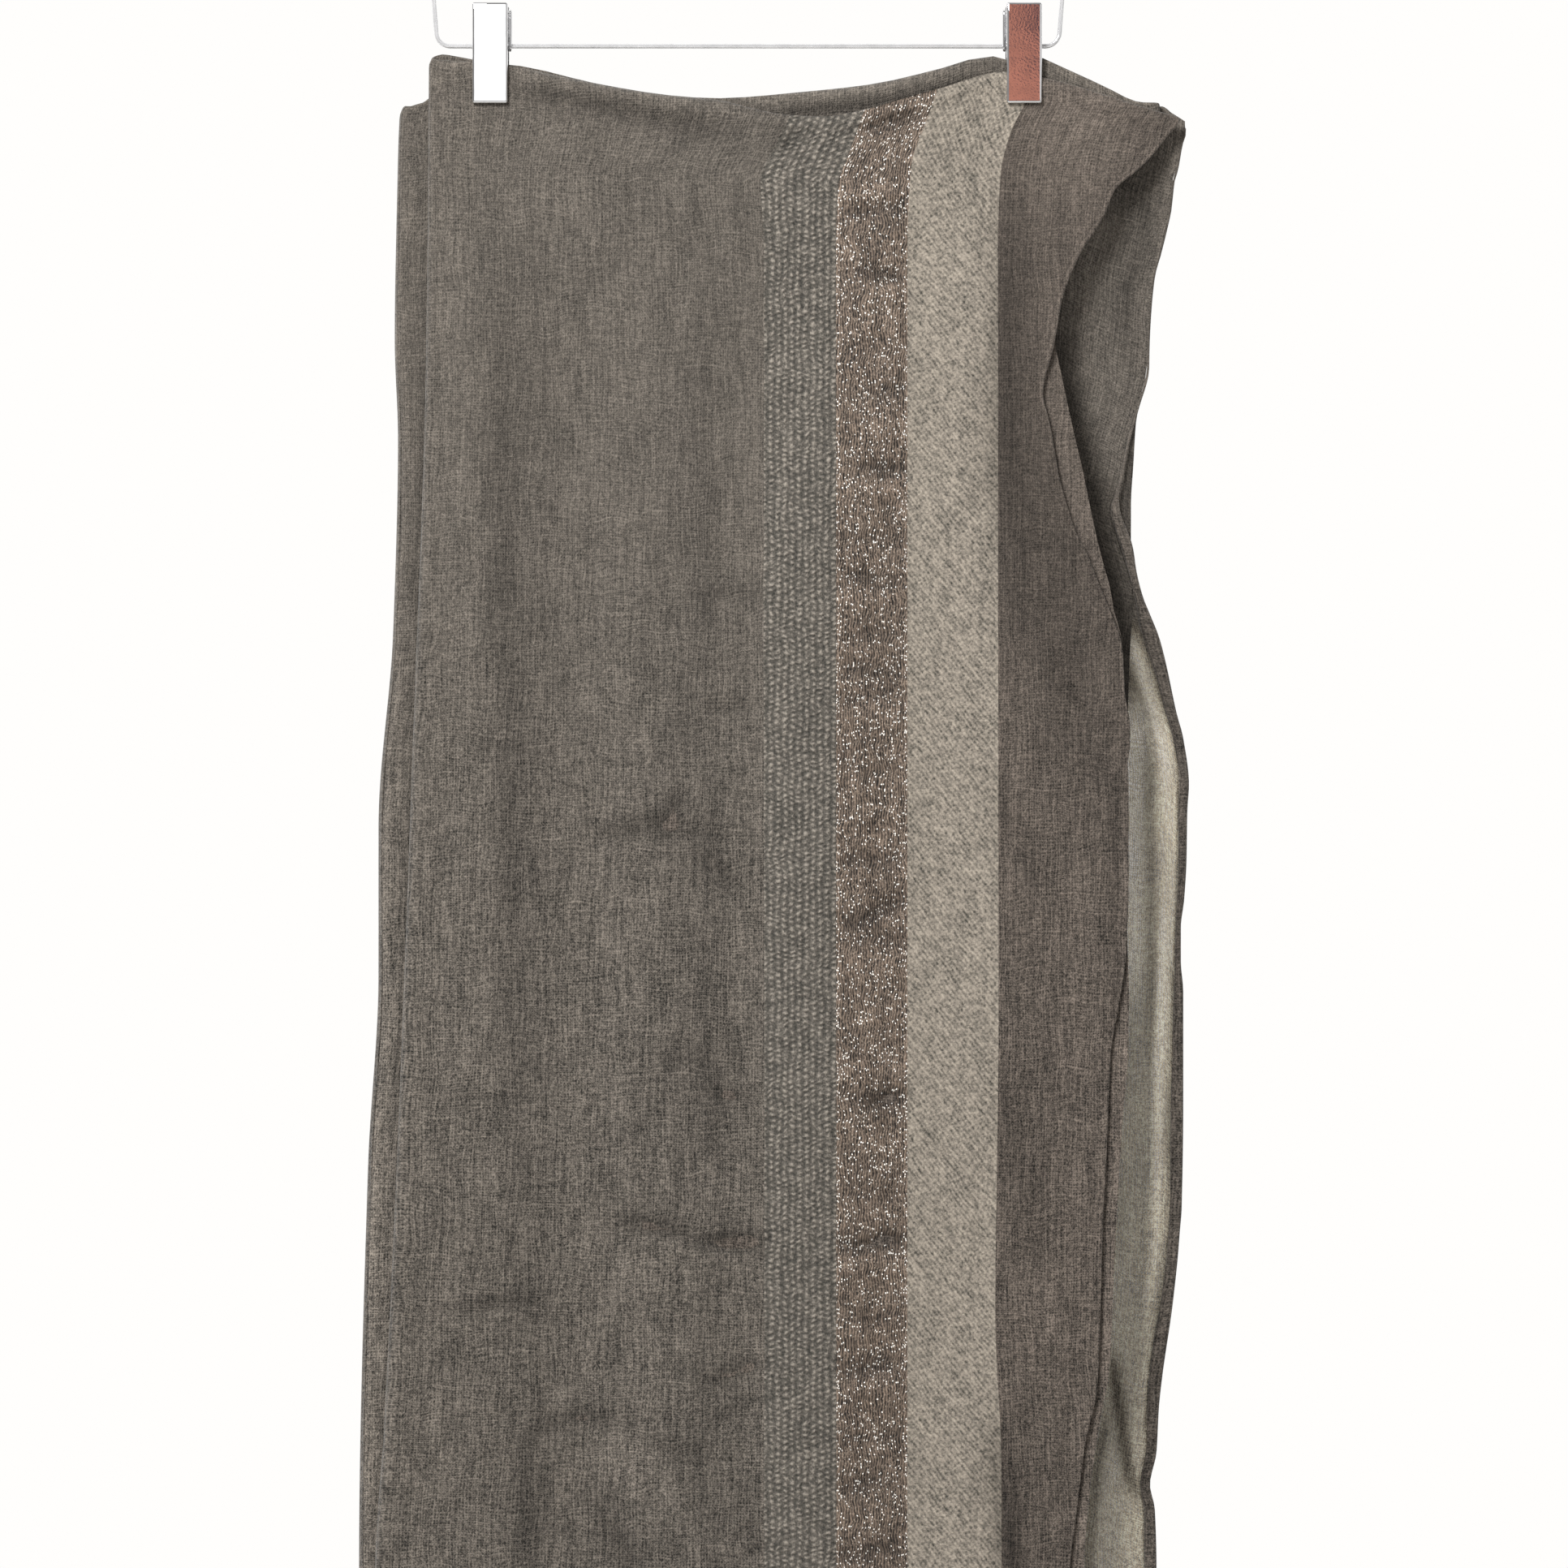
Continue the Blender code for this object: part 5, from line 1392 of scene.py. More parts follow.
def front_relief(across, down, rows, strength):
    """What the front leaf adds to its stretch's form."""
    side = off_left_fold(across, down)
    beside_clip = abs(across - LEFT_CLIP_MIDDLE)
    left = ramp(0.011, 0.026, beside_clip) * (1 - ramp(-0.034, 0.004, across))
    roll = FRONT_ROLL * roll_shape(rows) + line_adds(VALLEY_DIP, down - valley_line(across))
    below = down - front_crease(across)
    crest = line_adds(CREST, below) * ramp(-0.03, 0.01, across)
    from_hem = front_hem(down) - across
    seam = line_adds(SEAM_GROOVE, from_hem) + line_adds(SEAM_RIDGE, from_hem)
    even = slack(across, down) * side * (1 - clip_hold(across, down))
    small = front_creases(across, down) * strength + even + seam
    foot = line_adds(FOOT_RIDGE, rows.from_bottom) * (rows.share > 0.99)
    return roll * left * side + crest + small * ramp(0.0, TOP_FADE, below) + foot


def trough_shade(trough, height):
    """How much painted shade a height below zero gets, and how much painted light one above it."""
    return trough.tone * np.clip(-height / trough.full, trough.lightest, 1.0)


def front_shade(across, down):
    """Painted shade and painted light on the front leaf: darker in its troughs, its patches and
    along its lines, lighter on some lines.
    """
    side = off_left_fold(across, down)
    soft = crease_height(FRONT_CREASES, across, down, SOFT_SPREAD) * CREASE_GAIN * side
    troughs = trough_shade(SMALL_TROUGHS, front_creases(across, down))
    troughs = troughs + trough_shade(SOFT_TROUGHS, soft)
    troughs = troughs + trough_shade(PUCKER_TROUGHS, pucker_height(across, down))
    below = down - front_crease(across)
    shade = troughs * ramp(0.0, TOP_FADE, below) + painted_shade_patches(FRONT_PAINTED_SHADE, across, down)
    from_clip = across - LEFT_CLIP_MIDDLE
    valley = line_adds(VALLEY_SHADE, down - valley_line(across)) * ramp(0.0, 0.004, from_clip)
    under_roll = ramp(0.007, 0.011, abs(from_clip)) * (1 - ramp(-0.020, 0.014, across)) * side
    shade = shade + under_roll * (valley + line_adds(CREST_LIGHT, below))
    shade = shade + line_adds(CREASE_SHADE, below) * ramp(-0.040, -0.020, across)
    from_hem = front_hem(down) - across
    shade = shade + line_adds(SEAM_SHADE, from_hem) * (1 - 0.7 * ramp(0.36, 0.44, down))
    shade = shade + line_adds(HEM_SHADE, from_hem) * (1 - ramp(0.064, 0.080, down))
    shade = shade + line_adds(HEM_LIGHT, from_hem) * (1 - ramp(0.160, 0.200, down))
    return np.clip(shade, *SHADE_LIMITS)


def rear_shade(across, down):
    """Where the cloth behind is painted darker: a painted shadow beside the inner leaf's edge, and
    painted shade left of the front.
    """
    recess = within(RECESS_BAND, across - second_leaf_edge(down)) * within(RECESS, down)
    beside_front = line_adds(LEFT_FOLD_SHADE, across - left_fold(down))
    shade = RECESS_PAINTED_SHADOW * recess + beside_front * ramp(0.030, 0.045, down)
    return np.clip(shade + painted_shade_patches(REAR_PAINTED_SHADE, across, down), *SHADE_LIMITS)


class SHAWL_OT_front_leaf(bpy.types.Operator):
    """Adds the front stretch's outer leaf with its field, bands, edge strip and left fold"""

    bl_idname = "shawl.front_leaf"
    bl_label = "Front leaf"

    def execute(self, context):
        cloth = context.scene.shawl_cloth
        rows = Rows(FRONT_ROWS)
        groups = front_columns()
        middle = [stretch(0, group.place, group.count, rows) for group in groups]
        turns = np.linspace(0, 1, BEND_COLUMNS + 1)[1:]
        middle.append(bend(0, -1, turns, rows))
        points = np.concatenate(middle)
        across, down = across_and_down(points)
        relief = front_relief(across, down, rows, cloth.fold_strength)
        relief[-len(turns):] *= (1 - turns[:, None])
        open_by = opening(rows)
        front_offset = cloth.leaf * 1.6 * open_by + relief * open_by
        back_offset = cloth.leaf * 1.2 * open_by * np.ones_like(relief)
        sheet = both_leaves(points, front_offset, back_offset, FRONT_BACK_ROWS)

        u, slots = self.weave_columns(groups, middle, turns, rows)
        u = over_top(u, FRONT_BACK_ROWS)
        v = down + 0.3 * relief
        v = over_top(v, FRONT_BACK_ROWS, 2 * v[:, :1] - v)
        shade = over_top(front_shade(across, down), FRONT_BACK_ROWS)
        sheet, u, v, added = self.turn_back(sheet, u, v)
        shade = np.concatenate([np.repeat(shade[:1], added, axis=0), shade])
        slots = np.array([STRIP_SLOT] * added + slots)
        materials = [
            gauze_material("gauze_weave", cloth.gauze_colour, cloth),
            basket_material(cloth),
            metallic_material(cloth),
            light_material(cloth),
            gauze_material("edge_strip_weave", cloth.edge_colour, cloth),
        ]
        piece = cloth_sheet("front_leaf", sheet, weave_grid(u, v), cloth.leaf, materials, slots,
                            {"shade": shade})
        place_piece(piece, "front_field", "front_field", "front_basket_band",
                    "front_metallic_band", "front_light_band", "front_edge_strip")
        return {"FINISHED"}

    def weave_columns(self, groups, middle, turns, rows):
        """Each column's weave coordinate across the bands, and its material slot."""
        parts = []
        slots = []
        for group, points in zip(groups, middle):
            if group.u is None:
                across, down = across_and_down(points)
                parts.append(STRIP_START_U + across - edge_strip_start(down))
            else:
                parts.append(np.repeat(group.u[:, None], rows.share.size, axis=1))
            slots += [group.slot] * group.count
        round_fold = -FIELD_WIDTH - LEFT_TURN_WIDTH * turns
        parts.append(np.repeat(round_fold[:, None], rows.share.size, axis=1))
        slots += [FIELD_SLOT] * len(turns)
        return np.concatenate(parts), slots

    def turn_back(self, sheet, u, v):
        """Adds the turned edge behind the first columns: a soft turn at the top, then a hem."""
        edge = sheet[0]
        outward = edge - sheet[1]
        outward /= np.linalg.norm(outward, axis=-1, keepdims=True)
        out = facing(sheet)
        _, down = across_and_down(edge)
        radius = (0.0004 + 0.0007 * (1 - ramp(0.150, 0.182, down)))[:, None]
        added = []
        added_u = []
        for angle in np.radians(TURN_ANGLES):
            ahead = edge + outward * radius * math.sin(angle)
            added.append(ahead - out[0] * radius * (1 - math.cos(angle)))
            added_u.append(u[0] + radius[:, 0] * angle)
        for column in TURNED_COLUMNS:
            added.append(sheet[column] - out[column] * radius * 2)
            added_u.append(u[0] + radius[:, 0] * math.pi + HEM_COLUMNS[column])
        added, added_u = added[::-1], added_u[::-1]
        sheet = np.concatenate([np.array(added), sheet])
        u = np.concatenate([np.array(added_u), u])
        v = np.concatenate([np.repeat(v[:1], len(added), axis=0), v])
        return sheet, u, v, len(added)


class SHAWL_OT_front_inner_leaf(bpy.types.Operator):
    """Adds the front stretch's inner leaf, whose edge shows beyond the hem"""

    bl_idname = "shawl.front_inner_leaf"
    bl_label = "Front inner leaf"

    def execute(self, context):
        cloth = context.scene.shawl_cloth
        rows = Rows(INNER_ROWS)
        near = np.array(NEAR_INNER_EDGE)[:, None]
        inner = inset(second_leaf_edge, NEAR_INNER_EDGE[-1])
        shares = np.linspace(0, 1, 16)
        parts = [
            stretch(0, lambda down: second_leaf_edge(down) - near, len(near), rows),
            stretch(0, run(inner, basket_start, shares[1:-1]), len(shares) - 2, rows),
            stretch(0, run(basket_start, turn_line(0, -1), shares), len(shares), rows),
        ]
        points = np.concatenate(parts)[:, INNER_ROWS_CUT:]
        across, down = across_and_down(points)
        loose = 1 - clip_hold(across, down)
        edge = ramp(0.0, NEAR_INNER_EDGE[-1], second_leaf_edge(down) - across)
        behind = cloth.leaf * 1.2 + 0.0010 * loose + 0.0008 * loose * (1 - edge)
        sheet = points - facing(points) * behind[..., None]
        material = gauze_material("inner_leaf_weave", cloth.edge_colour, cloth)
        # Painted light: the strip beyond the front's hem is painted lighter, more so low down
        lit = 0.10 + 0.16 * ramp(0.38, 0.48, down)
        shade = -lit * ramp(0.0010, 0.0032, across - front_hem(down))
        piece = cloth_sheet("front_inner_leaf", sheet, weave_grid(across, down), cloth.leaf,
                            [material], extra={"shade": shade})
        place_piece(piece, "front_edge_strip")
        return {"FINISHED"}


def rear_columns(rows):
    """Middle points of the three stretches behind, in the order in which the cloth reaches them,
    and each column's part: a stretch for an even number, a turn for an odd one."""
    even = np.concatenate([NEAR_FOLD, steps(0.12, 0.88, 22), 1 - np.array(NEAR_FOLD[:0:-1])])
    turns = steps(0, 1, 8)
    back_shares = np.concatenate([NEAR_FOLD, np.linspace(0.12, 1, 30)])
    second = stretch(1, run(turn_line(0, -1), turn_line(1, 1), even), len(even), rows)
    third = stretch(2, run(turn_line(1, 1), turn_line(2, -1), even), len(even), rows)
    back = stretch(3, run(turn_line(2, -1), back_inner_edge, back_shares), len(back_shares), rows)
    parts = (second, bend(1, 1, turns, rows), third, bend(2, -1, turns, rows), back)
    numbers = np.repeat(np.arange(len(parts)), [len(part) for part in parts])
    return np.concatenate(parts), numbers[:, None]


def cloth_u(points):
    """Distance along the cloth from its first column, for each point of a grid."""
    gaps = np.linalg.norm(np.diff(points[:, points.shape[1] // 2], axis=0), axis=-1)
    along = np.concatenate([[0.0], np.cumsum(gaps)])
    return np.repeat(along[:, None], points.shape[1], axis=1)


class SHAWL_OT_rear_cloth(bpy.types.Operator):
    """Adds both leaves of the three stretches behind the front, with the roll on top"""

    bl_idname = "shawl.rear_cloth"
    bl_label = "Rear stretches"

    def execute(self, context):
        cloth = context.scene.shawl_cloth
        rows = Rows(REAR_ROWS)
        points, part = rear_columns(rows)
        across, down = across_and_down(points)
        room = front_crease(across) - top_ridge(across)
        second_roll = 0.0034 * ramp(0.004, 0.011, room) * (part <= 1)
        second_roll = second_roll * ramp(0.010, 0.022, abs(across - RIGHT_CLIP_MIDDLE))
        is_back = part == 4
        creased = crease_height(BACK_CREASES, across, down) * is_back
        open_by = opening(rows)
        thick = cloth.leaf * np.where(is_back, 0.9, 1.4)
        outer = thick * open_by + slack(across, down + 0.3) * 0.5 * open_by
        inner = (cloth.leaf * 1.4 + second_roll * roll_shape(rows) - creased * 0.5) * open_by
        back_rows = rows.share.size - 1
        sheet = both_leaves(points, outer, inner, back_rows)
        u = over_top(cloth_u(points), back_rows)
        v = down - top_ridge(across)
        v = over_top(v, back_rows, -v)
        shade = over_top(rear_shade(across, down), back_rows)
        material = gauze_material("rear_weave", cloth.rear_colour, cloth)
        piece = cloth_sheet("rear_cloth", sheet, weave_grid(u, v), cloth.leaf, [material],
                            extra={"shade": shade})
        place_piece(piece, "second_stretch", "second_stretch", "third_stretch")
        return {"FINISHED"}


def lower_fold_adds(line, across, down):
    return line_adds(line, across - lower_fold(down)) * within(LOWER_FOLD_PART, down)


def beside_front(across, down):
    """One along the front's edge low down, where the single leaf comes out from behind it."""
    return line_adds(BESIDE_FRONT, across - second_leaf_edge(down)) * ramp(0.660, 0.690, down)


def see_through(across, down):
    """How much light passes the back leaf, from 0 to 1, where it hangs alone beyond the folds; it
    also sets how much painted backlit colour shows.
    """
    from_roll = across - rolled_hem_inner(down)
    uneven = 0.86 + 0.14 * np.sin(down * 41 + 1.6 * np.sin(down * 17))
    near_roll = line_adds(ROLL_LIGHT, from_roll) * uneven * (1 - ramp(0.60, 0.68, down))
    left = (0.76 - 0.26 * ramp(0.43, 0.50, down)) * ramp(0.30, 0.34, down)
    left = left + 0.08 * ramp(0.66, 0.70, down)
    from_streak = across - (STREAK_ACROSS + STREAK_LEAN * (down - 0.40))
    total = np.maximum(near_roll, left) + line_adds(STREAK, from_streak) * within(STREAK_PART, down)
    total = total + lower_fold_adds(LOWER_FOLD_DIMS, across, down)
    total = total - BESIDE_FRONT_DIMS * beside_front(across, down)
    alone = ramp(-0.008, -0.002, across - back_inner_edge(down))
    alone = alone * (1 - ramp(-0.0015, 0.0005, from_roll))
    return np.clip(total, 0, 1) * ramp(*SINGLE_STARTS, down) * alone


class SHAWL_OT_back_leaf(bpy.types.Operator):
    """Adds the rearmost leaf, which hangs alone at the right and lets light through"""

    bl_idname = "shawl.back_leaf"
    bl_label = "Back leaf"

    def execute(self, context):
        cloth = context.scene.shawl_cloth
        rows = Rows(BACK_ROWS)
        points = self.middle(rows)
        across, down = across_and_down(points)
        open_by = opening(rows)
        outer = self.outer_offset(across, down, rows, cloth.leaf) * open_by
        inner = cloth.leaf * 1.2 * open_by * np.ones_like(outer)
        sheet = both_leaves(points, outer, inner, BACK_BACK_ROWS)
        u = over_top(cloth_u(points), BACK_BACK_ROWS)
        v = down - top_ridge(across)
        v = over_top(v, BACK_BACK_ROWS, -v)
        single = over_top(see_through(across, down), BACK_BACK_ROWS)
        shade = over_top(self.shade(across, down), BACK_BACK_ROWS)
        material = gauze_material("back_leaf_weave", cloth.rear_colour, cloth, open_weave=True)
        piece = cloth_sheet("back_leaf", sheet, weave_grid(u, v), cloth.leaf, [material],
                            extra={"see_through": single, "shade": shade})
        place_piece(piece, "back_stretch", "back_stretch")
        return {"FINISHED"}

    def middle(self, rows):
        """Middle points from the second left fold to the free edge."""
        turns = np.linspace(0.25, 1, 7)[:-1]
        inner = inset(right_fold, 0.012)
        left = np.concatenate([NEAR_FOLD, steps(0.12, 1, 42)])
        right = np.linspace(0, 1, 24)
        return np.concatenate([
            bend(2, -1, turns, rows),
            stretch(3, run(turn_line(2, -1), inner, left), left.size, rows),
            stretch(3, run(inner, inset(back_hem, 0.0010), right), right.size, rows),
        ])

    def outer_offset(self, across, down, rows, leaf):
        """How far the leaf stands off the stretch's middle: its roll on top, creases and waves."""
        away = np.minimum(abs(across - LEFT_CLIP_MIDDLE), abs(across - RIGHT_CLIP_MIDDLE))
        roll = 0.0022 * ramp(0.012, 0.040, away) * within(REAR_ROLL, across)
        loose = 1 - clip_hold(across, down)
        creased = (crease_height(BACK_CREASES, across, down) + slack(across, down)) * loose
        side = ramp(0.0, 0.02, across - second_left_fold(down))
        free = ramp(0.0, 0.012, across - right_fold(down)) * ramp(0.27, 0.31, down)
        wavy = 0.0016 * np.sin(down * 62 + 1.3 * np.sin(down * 23)) * free
        return leaf * 2.1 - creased * side * 0.8 + wavy + roll * roll_shape(rows)

    def shade(self, across, down):
        """Painted shade: darker beyond the rolled hem's line, where the leaf turns its other side
        into shade, and painted shadow along the edges that lie before the single leaf."""
        rear = rear_shade(across, down) * (1 - ramp(0.27, 0.30, down))
        beyond = ramp(0.0000, 0.0016, across - rolled_hem_outer(down)) * within(TURNED_PART, down)
        fold = lower_fold_adds(LOWER_FOLD_SHADE, across, down)
        return rear + TURNED_SHADE * beyond + fold + BESIDE_FRONT_SHADE * beside_front(across, down)


class SHAWL_OT_rolled_hem(bpy.types.Operator):
    """Adds the rolled hem of the back's free edge, which twists over to the front"""

    bl_idname = "shawl.rolled_hem"
    bl_label = "Rolled hem"

    def execute(self, context):
        cloth = context.scene.shawl_cloth
        down = np.linspace(0.0405, CLOTH_DROP - 0.006, HEM_ROWS)
        inner, outer = rolled_hem_inner(down), rolled_hem_outer(down)
        middle = (inner + outer) / 2
        half = np.maximum((outer - inner) / 2, 0.0005)
        half[0] *= 0.4
        half[-1] *= 0.7
        thick = np.clip(half * 0.55, 0.0005, 0.0012)
        behind = depth(3, middle, down) - cloth.leaf * 0.6
        over = bell(down - 0.235, 0.045) * 0.0022
        turns = np.linspace(0, 2 * np.pi, 17)
        ripple = 1 + 0.10 * np.sin(down * 330 + 2 * np.sin(down * 71))
        sheet = np.stack([
            np.stack([
                middle + half * np.cos(a),
                behind - over - thick * ripple * np.sin(a),
                -BAR_DROP - down,
            ], axis=-1)
            for a in turns
        ])
        u = np.repeat((turns * 0.002)[:, None], down.size, axis=1) + 3.0
        weave = weave_grid(u, down + 0 * u)
        material = gauze_material("hem_weave", (98, 91, 84), cloth)
        # Painted light on the roll where it twists over to the front, and painted shade lower down
        shade = 0.16 * ramp(0.26, 0.30, down) - 0.38 * within(LIT_ROLL, down)
        shade = np.repeat(shade[None, :], turns.size, axis=0)
        piece = self.closed_tube("back_rolled_hem", sheet, weave, material, shade)
        place_piece(piece, "back_stretch")
        return {"FINISHED"}

    def closed_tube(self, name, sheet, weave, material, shade):
        piece = cloth_sheet(name, sheet, weave, 0.0, [material], extra={"shade": shade})
        make_active(piece)
        bpy.ops.object.mode_set(mode="EDIT")
        bpy.ops.mesh.select_all(action="SELECT")
        bpy.ops.mesh.remove_doubles(threshold=0.00001)
        bpy.ops.mesh.select_all(action="DESELECT")
        bpy.ops.mesh.select_non_manifold()
        bpy.ops.mesh.edge_face_add()
        bpy.ops.mesh.select_all(action="SELECT")
        bpy.ops.mesh.normals_make_consistent(inside=False)
        bpy.ops.object.mode_set(mode="OBJECT")
        return piece


def arc(centre, radius, first, last, count):
    """Points on an arc in the hanger's plane, angles in degrees from +X towards +Z."""
    angles = np.radians(np.linspace(first, last, count + 1))
    return [Vector((centre[0] + radius * math.cos(a), 0.0, centre[2] + radius * math.sin(a)))
            for a in angles]


def tube(name, points, radius, material, sides, closed=False):
    """A round wire along a route, as a mesh whose open ends are capped flat."""
    curve = bpy.data.curves.new(name, "CURVE")
    curve.dimensions = "3D"
    curve.bevel_depth = radius
    curve.bevel_resolution = max(sides // 4 - 1, 1)
    curve.use_fill_caps = not closed
    spline = curve.splines.new("POLY")
    spline.points.add(len(points) - 1)
    for spot, point in zip(spline.points, points):
        spot.co = (*point, 1.0)
    spline.use_cyclic_u = closed
    piece = bpy.data.objects.new(name, curve)
    bpy.context.scene.collection.objects.link(piece)
    make_active(piece)
    bpy.ops.object.convert(target="MESH")
    piece = bpy.context.object
    piece.data.materials.clear()
    piece.data.materials.append(material)
    bpy.ops.object.shade_smooth_by_angle(angle=math.radians(50))
    return piece


def join(name, pieces):
    deselect()
    for piece in pieces:
        piece.select_set(True)
    bpy.context.view_layer.objects.active = pieces[0]
    bpy.ops.object.join()
    pieces[0].name = name
    return pieces[0]


def choose(piece, kind, test):
    """Selects a piece's edges or faces for which a test of their middle and themselves holds."""
    bpy.context.tool_settings.mesh_select_mode = (False, kind == "EDGE", kind == "FACE")
    shape = bmesh.from_edit_mesh(piece.data)
    for part in (*shape.verts, *shape.edges, *shape.faces):
        part.select = False
    if kind == "EDGE":
        chosen = [e for e in shape.edges if test((e.verts[0].co + e.verts[1].co) / 2, e)]
    else:
        chosen = [f for f in shape.faces if test(f.calc_center_median(), f)]
    for part in chosen:
        part.select = True
    shape.select_flush_mode()
    bmesh.update_edit_mesh(piece.data)
    if not chosen:
        raise RuntimeError(f"{piece.name}: nothing was selected")


class SHAWL_OT_wires(bpy.types.Operator):
    """Adds the hanger's bar, sides, shoulders, hook and collar"""

    bl_idname = "shawl.wires"
    bl_label = "Hanger wires"

    def execute(self, context):
        hanger = context.scene.shawl_hanger
        chrome = chrome_material("wire_chrome", 0.12, 0.55)
        bar_end = BAR_HALF_SPAN - CORNER_RADIUS
        lean = math.degrees(math.atan2(SIDE_LEAN, SIDE_RISE))
        collar_level = -NECK_TOP_DROP - COLLAR_HEIGHT * 0.6
        shoulder = (BAR_HALF_SPAN + SIDE_LEAN - SHOULDER_RADIUS, 0, -BAR_DROP + SIDE_RISE)
        rise = collar_level - shoulder[2] - SHOULDER_RADIUS
        slope = math.degrees(math.atan2(rise, shoulder[0]))
        half = arc((bar_end, 0, -BAR_DROP + CORNER_RADIUS), CORNER_RADIUS, -90, -lean, 12)
        half += arc(shoulder, SHOULDER_RADIUS, -lean, 90 - slope, 12)
        half.append(Vector((hanger.collar_radius * 0.5, 0, collar_level)))
        mirrored = [Vector((-p.x, 0, p.z)) for p in reversed(half)]
        frame_wire = tube("hanger_frame", mirrored + half, hanger.wire_radius, chrome,
                          hanger.tube_sides)
        place_piece(frame_wire, "chrome", "hanger_bar", "hanger_left_side", "hanger_right_side",
                    "hanger_left_shoulder", "hanger_right_shoulder")
        hook = tube("hanger_hook_wire", self.hook_route(hanger), hanger.hook_wire_radius, chrome,
                    hanger.tube_sides)
        deselect()
        tip = arc((0, 0, -HOOK_INSIDE_RADIUS), HOOK_INSIDE_RADIUS + hanger.hook_wire_radius,
                  HOOK_TIP_ANGLE, HOOK_TIP_ANGLE, 1)[0]
        bpy.ops.mesh.primitive_uv_sphere_add(
            segments=20, ring_count=12, radius=hanger.hook_wire_radius, location=tip)
        bead = bpy.context.object
        bpy.ops.object.transform_apply(location=True, rotation=True, scale=True)
        bpy.ops.object.shade_smooth()
        bead.data.materials.append(chrome)
        hook = join("hanger_hook_wire", [hook, bead])
        place_piece(hook, "chrome", "hanger_hook")
        collar = self.collar(hanger, chrome)
        place_piece(collar, "chrome", "hanger_collar")
        return {"FINISHED"}

    def hook_route(self, hanger):
        bend_radius = HOOK_INSIDE_RADIUS + hanger.hook_wire_radius
        route = arc((0, 0, -HOOK_INSIDE_RADIUS), bend_radius, HOOK_TIP_ANGLE, HOOK_BACK_ANGLE, 48)
        last = route[-1]
        back = math.radians(HOOK_BACK_ANGLE)
        heading = Vector((math.sin(back), 0, -math.cos(back)))
        neck = Vector((0, 0, -HOOK_NECK_DROP))
        pull = Vector((0, 0, HOOK_NECK_PULL))
        controls = (last, last + heading * HOOK_NECK_PULL, neck + pull, neck)
        for t in np.linspace(0, 1, 17)[1:]:
            weights = ((1 - t) ** 3, 3 * t * (1 - t) ** 2, 3 * t * t * (1 - t), t ** 3)
            route.append(sum((c * w for c, w in zip(controls, weights)), Vector()))
        route.append(Vector((0, 0, -NECK_TOP_DROP - 0.002)))
        return route

    def collar(self, hanger, chrome):
        deselect()
        bpy.ops.mesh.primitive_cylinder_add(
            vertices=32, radius=hanger.collar_radius, depth=COLLAR_HEIGHT,
            location=(0, 0, -NECK_TOP_DROP - COLLAR_HEIGHT / 2))
        collar = bpy.context.object
        collar.name = "hanger_collar_ring"
        bpy.ops.object.transform_apply(location=True, rotation=True, scale=True)
        bpy.ops.object.mode_set(mode="EDIT")
        foot = -NECK_TOP_DROP - COLLAR_HEIGHT
        choose(collar, "EDGE",
               lambda c, e: abs(c.z + NECK_TOP_DROP) < 1e-5 or abs(c.z - foot) < 1e-5)
        bpy.ops.mesh.bevel(offset=COLLAR_BEVEL, segments=4, affect="EDGES")
        bpy.ops.object.mode_set(mode="OBJECT")
        collar.data.materials.append(chrome)
        bpy.ops.object.shade_smooth_by_angle(angle=math.radians(40))
        return collar


